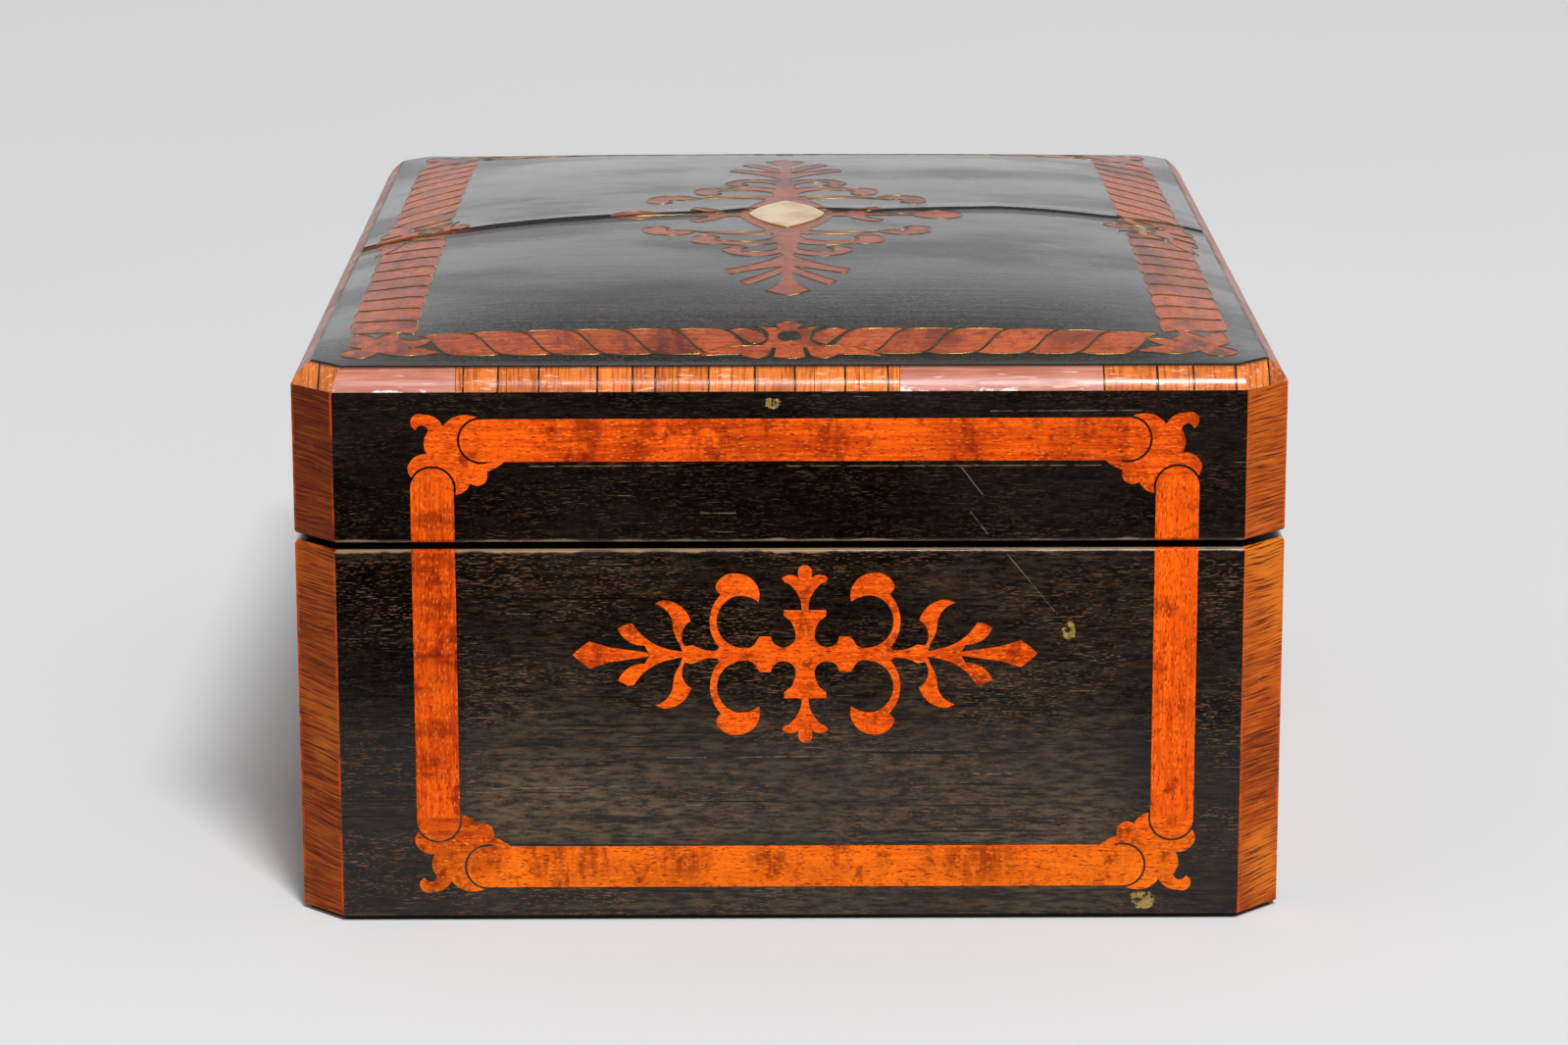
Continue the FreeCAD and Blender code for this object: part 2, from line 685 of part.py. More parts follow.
def leaf_plate(middle, upward):
    z0 = Z_LID if upward else Z_RIM - LEAF
    return box(middle - HINGE_LENGTH / 2, middle + HINGE_LENGTH / 2,
               Y_HINGE - LEAF_WIDTH, Y_HINGE, z0, z0 + LEAF)


def hinge_leaf(middle, upward):
    """One leaf: a flat plate with every other knuckle, bored for the pin."""
    pitch = HINGE_LENGTH / KNUCKLES
    left = middle - HINGE_LENGTH / 2
    leaf = leaf_plate(middle, upward)
    own = []
    for index in range(KNUCKLES):
        x = left + index * pitch
        if (index % 2 == 1) == upward:
            own.append(barrel(x + KNUCKLE_GAP / 2, KNUCKLE_RADIUS, pitch - KNUCKLE_GAP))
        else:
            room = barrel(x - KNUCKLE_GAP / 2, KNUCKLE_RADIUS + HINGE_ROOM, pitch + KNUCKLE_GAP)
            leaf = leaf.cut(room)
    leaf = leaf.fuse(own)
    bore = barrel(left - 1, PIN_RADIUS + PIN_FIT, HINGE_LENGTH + 2)
    return leaf.cut([bore] + hinge_screws(upward)).removeSplitter()


def hinge_pockets():
    """Room for the leaves and knuckles in the walls and veneers."""
    pockets = []
    for middle in hinge_middles():
        pockets += [leaf_plate(middle, True), leaf_plate(middle, False)]
        pockets.append(barrel(middle - HINGE_LENGTH / 2 - HINGE_ROOM, KNUCKLE_RADIUS + HINGE_ROOM,
                              HINGE_LENGTH + 2 * HINGE_ROOM))
    return pockets


def plate_block(z0, z1):
    half = LOCK_LENGTH / 2 + PLATE_LUG
    return box(-half, half, -Y_IN - LOCK_DEPTH, -Y_IN, z0, z1)


def plate_screws(upward):
    z = Z_LID - PLATE_PROUD if upward else Z_RIM + PLATE_PROUD
    x = LOCK_LENGTH / 2 + PLATE_LUG / 2
    return [screw(side * x, Y_LOCK, z, upward) for side in (-1, 1)]


def keyhole():
    """The keyhole as a bar running back from the front face into the lock."""
    depth = WIDTH / 2 + Y_LOCK
    start = V(0, -WIDTH / 2 - 1, Z_KEY)
    eye = Part.makeCylinder(KEYHOLE_RADIUS, depth + 1, start, V(0, 1, 0))
    slot = box(-KEYHOLE_SLOT / 2, KEYHOLE_SLOT / 2, start.y, start.y + depth + 1,
               Z_KEY - KEYHOLE_LENGTH, Z_KEY)
    return eye.fuse(slot)


def link_levels():
    """Foot of the links, and the middle of their eyes."""
    foot = Z_LID - PLATE_PROUD - LINK_LENGTH
    return foot, foot + LINK_EYE_FOOT + LINK_EYE_HEIGHT / 2


def link_block(x, grow):
    foot, eye = link_levels()
    return box(x - LINK_THICK / 2 - grow, x + LINK_THICK / 2 + grow,
               Y_LOCK - LINK_WIDTH / 2 - grow, Y_LOCK + LINK_WIDTH / 2 + grow, foot, Z_LID - PLATE_PROUD)


def link_middles():
    return (-LINK_SPACING / 2, LINK_SPACING / 2)


def link_plate():
    foot, eye = link_levels()
    plate = plate_block(Z_LID - PLATE_PROUD, Z_LID - PLATE_PROUD + PLATE)
    for x in link_middles():
        hole = box(x - LINK_THICK, x + LINK_THICK, Y_LOCK - LINK_EYE_WIDTH / 2, Y_LOCK + LINK_EYE_WIDTH / 2,
                   eye - LINK_EYE_HEIGHT / 2, eye + LINK_EYE_HEIGHT / 2)
        plate = plate.fuse(link_block(x, 0.0).cut(hole))
    return plate.cut(plate_screws(True)).removeSplitter()


def selvedge():
    plate = plate_block(Z_RIM + PLATE_PROUD - PLATE, Z_RIM + PLATE_PROUD)
    return plate.cut([link_block(x, LINK_ROOM) for x in link_middles()] + plate_screws(False))


def bolt_levels():
    """Bottom and top of the bolt's spine, just below the links."""
    foot, eye = link_levels()
    top = foot - 2 * BOLT_ROOM
    return top - BOLT_SPINE, top


def lock_block():
    top = Z_RIM + PLATE_PROUD - PLATE
    return box(-LOCK_LENGTH / 2, LOCK_LENGTH / 2, -Y_IN - LOCK_DEPTH, -Y_IN, top - LOCK_HEIGHT, top)


def lock_case():
    """Sheet case open at the top under the selvedge, with a shelf that carries the bolt."""
    low, high = bolt_levels()
    block = lock_block()
    room = block.BoundBox
    inside = box(room.XMin + LOCK_SHEET, room.XMax - LOCK_SHEET, room.YMin + LOCK_SHEET,
                 room.YMax - LOCK_SHEET, room.ZMin + LOCK_SHEET, room.ZMax)
    shelf = box(room.XMin + LOCK_SHEET, room.XMax - LOCK_SHEET, room.YMin + LOCK_SHEET,
                room.YMax - LOCK_SHEET, low - BOLT_ROOM - LOCK_SHEET, low - BOLT_ROOM)
    return block.cut(inside).fuse(shelf).cut(keyhole()).removeSplitter()


def lock_bolt():
    """Spine with two hooks that slide along X through the eyes of the links."""
    low, high = bolt_levels()
    eye = link_levels()[1]
    half_spine = LOCK_DEPTH / 2 - LOCK_SHEET - BOLT_ROOM
    finger_half = LINK_EYE_WIDTH / 2 - BOLT_ROOM
    finger_low = eye - LINK_EYE_HEIGHT / 2 + BOLT_ROOM
    finger_high = eye + LINK_EYE_HEIGHT / 2 - BOLT_ROOM
    pieces = []
    for x in link_middles():
        tip = x - LINK_THICK / 2 - BOLT_START
        post = tip - BOLT_TRAVEL
        pieces.append(box(post - BOLT_POST, post, Y_LOCK - finger_half, Y_LOCK + finger_half,
                          high, finger_high))
        pieces.append(box(post, tip, Y_LOCK - finger_half, Y_LOCK + finger_half, finger_low, finger_high))
    start = pieces[0].BoundBox.XMin
    end = pieces[-2].BoundBox.XMax
    spine = box(start, end, Y_LOCK - half_spine, Y_LOCK + half_spine, low, high)
    return spine.fuse(pieces).removeSplitter()


def escutcheon_block():
    oval = Part.Ellipse(V(0, 0), ESCUTCHEON_HIGH, ESCUTCHEON_WIDE).toShape()
    oval.rotate(V(0, 0, 0), V(0, 0, 1), 90)
    return on_side(moved(Part.Face(Part.Wire(oval)), 0.0, Z_KEY), "front")


# Hidden drawer


def drawer_opening():
    return box(X_IN, LENGTH / 2, -DRAWER_WIDTH / 2, DRAWER_WIDTH / 2, DRAWER_SILL, Z_DRAWER_TOP)


def drawer():
    """Front, its veneer, the two sides, back and bottom, in the closed place."""
    half = DRAWER_WIDTH / 2 - DRAWER_ROOM
    low = DRAWER_SILL + DRAWER_ROOM
    high = Z_DRAWER_TOP - DRAWER_ROOM
    back = LENGTH / 2 - DRAWER_DEPTH
    front = box(X_IN, X_OUT, -half, half, low, high)
    face = box(X_OUT, LENGTH / 2, -half, half, low, high)
    side = box(back, X_IN, half - DRAWER_SIDE, half, low, high)
    rear = box(back, back + DRAWER_SIDE, DRAWER_SIDE - half, half - DRAWER_SIDE, low, high)
    bottom = box(back + DRAWER_SIDE, X_IN, DRAWER_SIDE - half, half - DRAWER_SIDE, low, low + DRAWER_BOTTOM)
    return front, face, [side, side.mirror(V(0, 0, 0), V(0, 1, 0))], rear, bottom


def drawer_runners():
    half = DRAWER_WIDTH / 2
    corners = [(half - RUNNER_LEDGE, Z_BOTTOM_TOP), (half + RUNNER_GUIDE, Z_BOTTOM_TOP),
               (half + RUNNER_GUIDE, Z_FLOOR), (half, Z_FLOOR), (half, DRAWER_SILL),
               (half - RUNNER_LEDGE, DRAWER_SILL)]
    points = [V(-X_IN, y, z) for y, z in corners]
    runner = Part.Face(Part.makePolygon(points + [points[0]])).extrude(V(2 * X_IN, 0, 0))
    return [runner, runner.mirror(V(0, 0, 0), V(0, 1, 0))]


def pin_x():
    return LENGTH / 2 - DRAWER_DEPTH + DRAWER_SIDE + PIN_SHANK + DRAWER_ROOM


def drawer_pin():
    """Pin in its raised place: pushed down, it stands before the drawer's back and holds it."""
    tip = Z_DRAWER_TOP - DRAWER_ROOM + PIN_CLEAR
    knob = Z_LINING_TOP + PIN_TRAVEL + PIN_ROOM
    shank = Part.makeCylinder(PIN_SHANK, knob - tip, V(pin_x(), 0, tip))
    head = Part.makeCylinder(PIN_KNOB, PIN_KNOB_HEIGHT, V(pin_x(), 0, knob))
    rounded = head.makeFillet(PIN_KNOB_HEIGHT / 3, [head.Edges[0], head.Edges[2]])
    return shank.fuse(rounded).removeSplitter()


def pin_hole():
    return Part.makeCylinder(PIN_SHANK + PIN_ROOM, Z_LINING_TOP - Z_FLOOR, V(pin_x(), 0, Z_FLOOR))


# Assembly


def base_pieces():
    cutters = hinge_pockets() + hinge_screws(False) + plate_screws(False) + [keyhole(), drawer_opening()]
    cutters += [plate_block(Z_RIM + PLATE_PROUD - PLATE, Z_RIM + PLATE_PROUD), lock_block()]
    bottom = box(-X_IN - BOTTOM_REBATE, X_IN + BOTTOM_REBATE, -Y_IN - BOTTOM_REBATE, Y_IN + BOTTOM_REBATE,
                 BAIZE, Z_BOTTOM_TOP)
    form = rounded_form(BAIZE, Z_RIM, Z_RIM)
    nodes = {}
    for side, wall in carcase_walls(BAIZE, Z_CARCASE_TOP, TAIL_COUNT_BASE).items():
        nodes["base_%s_wall" % side] = [carve(wall, cutters + [bottom])]
    nodes["base_bottom_board"] = [bottom]
    nodes["underside_baize"] = [prism(outline(BAIZE_INSET), 0.0, BAIZE)]
    nodes["base_rim_facing"] = [carve(strip, cutters) for strip in rim_facing(Z_CARCASE_TOP, Z_RIM)]
    sheets = dict(front=0, right=2, back=4, left=6)
    plate = escutcheon_block()
    for side, index in sheets.items():
        inlay = [on_side(face, side) for face in side_inlay(side)[0]]
        sheet = skin(index, BAIZE, Z_RIM).common(form)
        nodes["base_%s_veneer" % side] = [carve(sheet, inlay + cutters + [plate])]
        nodes["base_%s_inlay" % side] = [carve(piece.common(form), cutters + [plate]) for piece in inlay]
    corners = [skin(index, BAIZE, Z_RIM).common(form) for index in (1, 3, 5, 7)]
    nodes["base_corner_veneers"] = corners
    nodes["escutcheon"] = [plate.cut(keyhole())]
    nodes["false_floor"] = [box(-X_IN, X_IN, -Y_IN, Y_IN, Z_FLOOR, Z_FLOOR_TOP).cut(pin_hole())]
    nodes["drawer_runners"] = drawer_runners()
    floor = box(-X_IN, X_IN, -Y_IN, Y_IN, Z_FLOOR_TOP, Z_LINING_TOP).cut(pin_hole())
    nodes["base_lining"] = [floor] + wall_linings(Z_LINING_TOP, Z_CARCASE_TOP - LINING_DROP)
    nodes["hinge_base_leaves"] = [hinge_leaf(middle, False) for middle in hinge_middles()]
    nodes["hinge_pins"] = [barrel(middle - HINGE_LENGTH / 2, PIN_RADIUS, HINGE_LENGTH)
                           for middle in hinge_middles()]
    nodes["base_screws"] = slotted(hinge_screws(False) + plate_screws(False), False)
    nodes["lock_case"] = [lock_case()]
    nodes["lock_selvedge"] = [selvedge()]
    return nodes


def lid_pieces():
    cutters = hinge_pockets() + hinge_screws(True) + plate_screws(True)
    cutters.append(plate_block(Z_LID - PLATE_PROUD, Z_LID - PLATE_PROUD + PLATE))
    form = rounded_form(Z_LID, Z_SHOULDER, Z_LID)
    nodes = {}
    for side, wall in carcase_walls(Z_CARCASE_LID, Z_BOARD, TAIL_COUNT_LID).items():
        nodes["lid_%s_wall" % side] = [carve(wall, cutters)]
    nodes["lid_rim_facing"] = [carve(strip, cutters) for strip in rim_facing(Z_LID, Z_CARCASE_LID)]
    left, right = lid_boards()
    nodes["lid_board_left"] = [left]
    nodes["lid_board_right"] = [right]
    sheets = dict(front=0, right=2, back=4, left=6)
    for side, index in sheets.items():
        inlay = [on_side(face, side) for face in side_inlay(side)[1]]
        sheet = skin(index, Z_LID, Z_SHOULDER).common(form)
        nodes["lid_%s_veneer" % side] = [carve(sheet, inlay + cutters)]
        nodes["lid_%s_inlay" % side] = [carve(piece.common(form), cutters) for piece in inlay]
    corners = [skin(index, Z_LID, Z_SHOULDER).common(form) for index in (1, 3, 5, 7)]
    nodes["lid_corner_veneers"] = corners
    nodes["lid_edge_banding"], nodes["lid_edge_repairs"] = lid_banding()
    shell = top_shell(0.0)
    raised = top_shell(CARTOUCHE_PROUD)
    for name, faces in lid_top_regions().items():
        nodes[name] = let_into_top(faces, raised if name == "lid_cartouche" else shell)
    ceiling = box(-X_IN, X_IN, -Y_IN, Y_IN, Z_BOARD - LINING, Z_BOARD)
    nodes["lid_lining"] = [ceiling] + wall_linings(Z_CARCASE_LID + LINING_DROP, Z_BOARD - LINING)
    nodes["hinge_lid_leaves"] = [hinge_leaf(middle, True) for middle in hinge_middles()]
    nodes["lid_screws"] = slotted(hinge_screws(True) + plate_screws(True), True)
    nodes["link_plate"] = [link_plate()]
    return nodes


def moving_pieces():
    front, face, sides, rear, bottom = drawer()
    return {"lock_bolt": [lock_bolt()], "drawer_front": [front], "drawer_face_veneer": [face],
            "drawer_sides": sides, "drawer_back": [rear], "drawer_bottom": [bottom],
            "drawer_pin": [drawer_pin()]}


def export(nodes):
    os.makedirs("parts", exist_ok=True)
    for name, shapes in nodes.items():
        solids = solids_of(shapes)
        whole = solids[0] if len(solids) == 1 else Part.makeCompound(solids)
        whole.exportStep("parts/%s.step" % name)


export(base_pieces())
export(lid_pieces())
export(moving_pieces())
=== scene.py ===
"""Looks of the marquetry casket: woods, brass, cloth, stringing, stage, light and camera.

X runs along the length and the photographed end is at -X. The lock is at -Y and Z is up. Metres.
"""
import math

import bmesh
import bpy
from mathutils import Matrix, Vector


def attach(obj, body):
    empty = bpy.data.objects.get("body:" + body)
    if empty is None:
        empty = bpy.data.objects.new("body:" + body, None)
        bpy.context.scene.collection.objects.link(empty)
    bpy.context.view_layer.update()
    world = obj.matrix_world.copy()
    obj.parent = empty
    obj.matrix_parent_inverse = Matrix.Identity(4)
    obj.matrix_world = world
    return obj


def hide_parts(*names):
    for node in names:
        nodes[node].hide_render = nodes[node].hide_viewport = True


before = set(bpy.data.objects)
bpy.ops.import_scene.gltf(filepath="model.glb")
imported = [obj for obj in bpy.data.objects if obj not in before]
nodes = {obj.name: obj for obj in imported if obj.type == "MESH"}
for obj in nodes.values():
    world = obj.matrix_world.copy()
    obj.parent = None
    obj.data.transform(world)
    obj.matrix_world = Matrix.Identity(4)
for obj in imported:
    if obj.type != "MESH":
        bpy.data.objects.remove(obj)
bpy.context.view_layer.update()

MM = 0.001
LENGTH = 270 * MM
WIDTH = 200 * MM
CHAMFER = 8.9 * MM
Z_RIM = 78.0 * MM
Z_LID = 79.5 * MM
Z_SHOULDER = 110.3 * MM
Z_BROW = 114.9 * MM

# The inlaid frame of each side: the heights its upright bands span, and how far in from the box's edge
# they reach. Inside the frame the veneer has faded and is painted paler with the floor's reflected sheen,
# from its own inset and between these heights.
UPRIGHTS = (22 * MM, 93 * MM)
UPRIGHT_INSET = 34 * MM
UPRIGHT_BLUR = 0.1 * MM
FADE_SHEEN_INSET = 30 * MM
FADE_SHEEN_FOOT = (12 * MM, 20 * MM)
FADE_SHEEN_HEAD = (56 * MM, 24 * MM)

# The room inside, the pads that line it and the hole for the locking pin
X_IN = 124 * MM
Y_IN = 89 * MM
LINING = 1.2 * MM
Z_FLOOR_TOP = 40.2 * MM
Z_BOARD = 102.3 * MM
BASE_PADS = (41.4 * MM, 75.4 * MM)
LID_PADS = (82.1 * MM, 101.1 * MM)
PIN_X = -6.6 * MM
PIN_BORE = 2.15 * MM

# Stops in mm across a pad's rolled edge, the size of its other faces, and how far its edge is drawn in
PAD_ROLL = (0, 0.3, 0.8, 1.6, 2.8, 4.5, 7.0)
PAD_STEP = 9 * MM
PAD_DRAW = 0.7 * MM

# The split across the lid top, as it runs from one long side to the other
CRACK_LINE = [(at * MM, place * MM) for at, place in (
    (-3, 100), (-7.5, 72), (-4, 50), (2, 15), (6, 8),
    (6, -8), (4, -20), (10.5, -48), (10, -72), (20, -100))]
CRACK_LOW = -20 * MM
CRACK_SPAN = 60 * MM
CRACK_WIDTH = 0.8 * MM
CRACK_LIP = 0.45 * MM
CRACK_SLOPE = 0.8
TORN_FROM = (68 * MM, 76 * MM)

# Where dirt gathers on the lid's inlays: toward the long sides, and toward the corners
DIRTY_SIDES = (66 * MM, 80 * MM)
DIRTY_CORNERS = (106 * MM, 118 * MM)

# Marks seen on the photographed end, in mm across (to the left) and up.
# A drop of glue or a smudge also has its half width and its half height.
BASE_SCRATCHES = (
    ((60.4, 28.1), (33.1, 28.6)), ((26.0, 34.6), (17.1, 34.6)), ((11.2, 34.6), (-7.7, 34.8)),
    ((21.2, 24.5), (15.8, 24.7)), ((-37.0, 31.0), (-44.6, 31.0)), ((-56.4, 48.4), (-61.4, 48.4)),
    ((56.9, 64.8), (52.3, 64.7)), ((-30.0, 19.4), (-33.6, 19.4)), ((-43.5, 76.9), (-53.1, 65.1)))
LID_SCRATCHES = (
    ((19.6, 85.5), (10.9, 85.5)), ((-34.2, 94.8), (-38.5, 89.1)), ((-36.1, 85.6), (-39.5, 81.2)),
    ((52.0, 95.2), (22.0, 95.2)), ((2.0, 95.1), (-62.0, 95.1)), ((-40.0, 106.2), (-70.0, 106.3)))
SCRATCH_WIDTH = 0.17 * MM
BASE_GLUE = ((-71.8, 4.2, 3.4, 2.4), (-56.1, 61.0, 1.7, 2.6))
LID_GLUE = ((3.6, 107.9, 2.4, 1.4),)
SMUDGES = (
    (40.2, 101, 4.0, 9), (19.7, 102, 3.2, 8), (13.8, 98, 4.5, 5), (6.0, 101, 1.8, 9),
    (-9.0, 101, 4.5, 8), (54.5, 92.5, 3.5, 3), (-67.5, 93, 4, 3), (70.6, 84, 6, 4.5),
    (71.5, 74.5, 7, 4), (71.5, 66, 6, 2.5), (71.8, 56.5, 7, 3.6), (72.0, 40.5, 6, 3),
    (72.5, 33, 4, 3), (-72.0, 66, 4, 3), (-71.5, 47, 3, 5), (41.3, 56.2, 6, 4),
    (32.7, 61.3, 4, 2.5), (44.0, 12.5, 9, 6), (22.0, 13.0, 7, 5), (4.0, 12.5, 5, 4),
    (-38.0, 12.5, 9, 5))

# Tones of each material, as linear red, green and blue
EBONY_FADED_SHEEN = ((0.0024, 0.0011, 0.0005), (0.0110, 0.0052, 0.0022), (0.056, 0.037, 0.0194))
EBONY_BLACK = ((0.0022, 0.0009, 0.0005), (0.0060, 0.0026, 0.0013), (0.020, 0.0080, 0.0036))
SATIN_SIDE = ((0.56, 0.050, 0.0006), (0.15, 0.006, 0.0002))
SATIN_TOP = ((0.36, 0.048, 0.008), (0.12, 0.013, 0.003))
SATIN_MIDDLE = ((0.26, 0.036, 0.008), (0.09, 0.011, 0.003))
ROSE_BASE = ((0.40, 0.062, 0.0035), (0.24, 0.034, 0.0025))
ROSE_LID = ((0.34, 0.042, 0.0022), (0.20, 0.022, 0.0015))
ROSE_GOLD_AND_LIT = (0.68, 0.175, 0.012)
ROSE_LINE = (0.80, 0.22, 0.020)
ROSE_PORE = (0.060, 0.009, 0.0015)
ROSE_PAINTED_SHADE = (0.045, 0.0075, 0.0012)
BAND_LIGHT = ((0.74, 0.205, 0.034), (0.56, 0.135, 0.020))
BAND_DARK = ((0.36, 0.052, 0.005), (0.20, 0.028, 0.003))
BAND_JOINT = (0.020, 0.006, 0.002)
REPAIR_WOOD = ((0.36, 0.105, 0.064), (0.52, 0.205, 0.140))
REPAIR_CLOUD = (0.33, 0.082, 0.042)
CARCASE = ((0.50, 0.33, 0.17), (0.34, 0.19, 0.08))
OAK = ((0.36, 0.22, 0.11), (0.22, 0.12, 0.05))
BRASS = ((0.66, 0.47, 0.18), (0.30, 0.19, 0.07))
STRING_BRASS = ((0.40, 0.27, 0.09), (0.16, 0.10, 0.04))
CARTOUCHE_BRASS = ((0.82, 0.60, 0.36), (0.70, 0.47, 0.25))
STEEL = ((0.36, 0.35, 0.34), (0.14, 0.12, 0.10))
VELVET = ((0.16, 0.011, 0.018), (0.22, 0.022, 0.030))
BAIZE = ((0.010, 0.014, 0.011), (0.020, 0.026, 0.020))
STRING_RADIUS = 0.14 * MM

# Tones of wear, dirt and damage, and of painted shade and glints
EBONY_FLECK = (0.160, 0.072, 0.030)
EBONY_CHECK = (0.0012, 0.0008, 0.0006)
EBONY_SCRATCH = (0.38, 0.27, 0.18)
EBONY_DUST = (0.40, 0.34, 0.27)
EBONY_FILM = (0.20, 0.165, 0.13)
EBONY_WORN = (0.34, 0.21, 0.115)
EBONY_CRACK_SHADE = (0.0035, 0.0022, 0.0018)
EBONY_TORN = (0.150, 0.030, 0.012)
GLUE = ((0.08, 0.05, 0.010), (0.36, 0.24, 0.06))
SATIN_CRACK_SHADE = (0.030, 0.006, 0.003)
SATIN_DIRT = (0.045, 0.022, 0.015)
SATIN_FOOT = (0.84, 0.20, 0.006)
ROSE_RUBBED = (0.62, 0.062, 0.005)
ROSE_CHIP = (0.66, 0.34, 0.10)
BAND_SCUFF_AND_GLINT = (0.82, 0.60, 0.44)
BAND_SIDE_PAINTED_SHADE = (0.050, 0.018, 0.012)
REPAIR_SCUFF = (0.70, 0.52, 0.44)
REPAIR_CHIP = (0.74, 0.66, 0.60)
BROW_PAINTED_SHADE = (0.010, 0.005, 0.003)

# Camera fitted to the corners of the photographed end
CAMERA_PLACE = (-1.04994, 0.00419, 0.30474)
CAMERA_PITCH = -13.593
CAMERA_YAW = -0.188
CAMERA_ROLL = -0.123
FOCAL_PIXELS = 4800
IMAGE_WIDTH = 1599
SENSOR_MM = 36.0

# The floor, which pales with distance, and the dark card that reflections see
FLOOR_SIZE = 12.0
FLOOR_TONES = ((0.65, 0.65, 0.65), (0.68, 0.68, 0.68))
FLOOR_LIFT = 0.12
FLOOR_LIFT_REACH = 1.6
FLAG_SIZE = 1.2
FLAG_STRETCH = 1.6
FLAG_GAP = 0.28
FLAG_LEVEL = 0.5 * MM
FLAG_TONES = ((0.012, 0.012, 0.012), (0.02, 0.02, 0.02))

# The lamps, each with its bearing, height, size and power, and the world's strengths
LAMPS = {"key": (18, 48, 1.1, 300.0), "upper": (8, 53, 0.7, 84.0)}
LAMP_TARGET = (0, 0, 0.06)
LAMP_REACH = 6.0
WORLD_TINT = (0.97, 0.98, 1.0, 1.0)
WORLD_LEVEL = 0.36
SIDE_LEVEL = 0.40
BACK_LEVEL = 0.98
HIGH_LEVEL = 0.20


class Tree:
    """A tree of shader nodes, wired up socket by socket."""

    def __init__(self, tree):
        self.tree = tree

    def add(self, kind, inputs=None, **settings):
        """A new node. Each of its inputs is a value or the output of another node."""
        node = self.tree.nodes.new(kind)
        for name, value in settings.items():
            setattr(node, name, value)
        for name, value in (inputs or {}).items():
            self.feed(node.inputs[name], value)
        return node

    def feed(self, socket, value):
        """Links the socket to a node's output, or sets its value."""
        if isinstance(value, bpy.types.NodeSocket):
            self.tree.links.new(value, socket)
        else:
            socket.default_value = value

    def step(self, value, low, high, to=(0.0, 1.0)):
        """A smooth rise from low to high."""
        return self.add("ShaderNodeMapRange", {"Value": value, "From Min": low, "From Max": high,
                                               "To Min": to[0], "To Max": to[1]},
                        interpolation_type="SMOOTHSTEP").outputs[0]

    def step_line(self, value, low, high):
        """A straight rise from 0 at low to 1 at high."""
        ends = {"Value": value, "From Min": low, "From Max": high}
        return self.add("ShaderNodeMapRange", ends).outputs[0]

    def calc(self, operation, a, b=0.0, c=0.0):
        """Arithmetic on numbers."""
        return self.add("ShaderNodeMath", {0: a, 1: b, 2: c}, operation=operation).outputs[0]

    def vector(self, operation, a, b=None):
        """Vector arithmetic. Lengths and products are numbers, and the rest are vectors."""
        inputs = {0: a} if b is None else {0: a, 1: b}
        outputs = self.add("ShaderNodeVectorMath", inputs, operation=operation).outputs
        return outputs["Value" if operation in ("DOT_PRODUCT", "DISTANCE", "LENGTH") else "Vector"]

    def times(self, vector, share):
        """The vector or colour, times a number."""
        return self.add("ShaderNodeVectorMath", {0: vector, "Scale": share}, operation="SCALE").outputs[0]

    def seen(self):
        """1 where the camera, a reflection or glass looks, and 0 where light is gathered."""
        path = self.add("ShaderNodeLightPath").outputs
        mirrored = self.calc("MAXIMUM", path["Is Glossy Ray"], path["Is Transmission Ray"])
        return self.calc("MAXIMUM", path["Is Camera Ray"], mirrored)


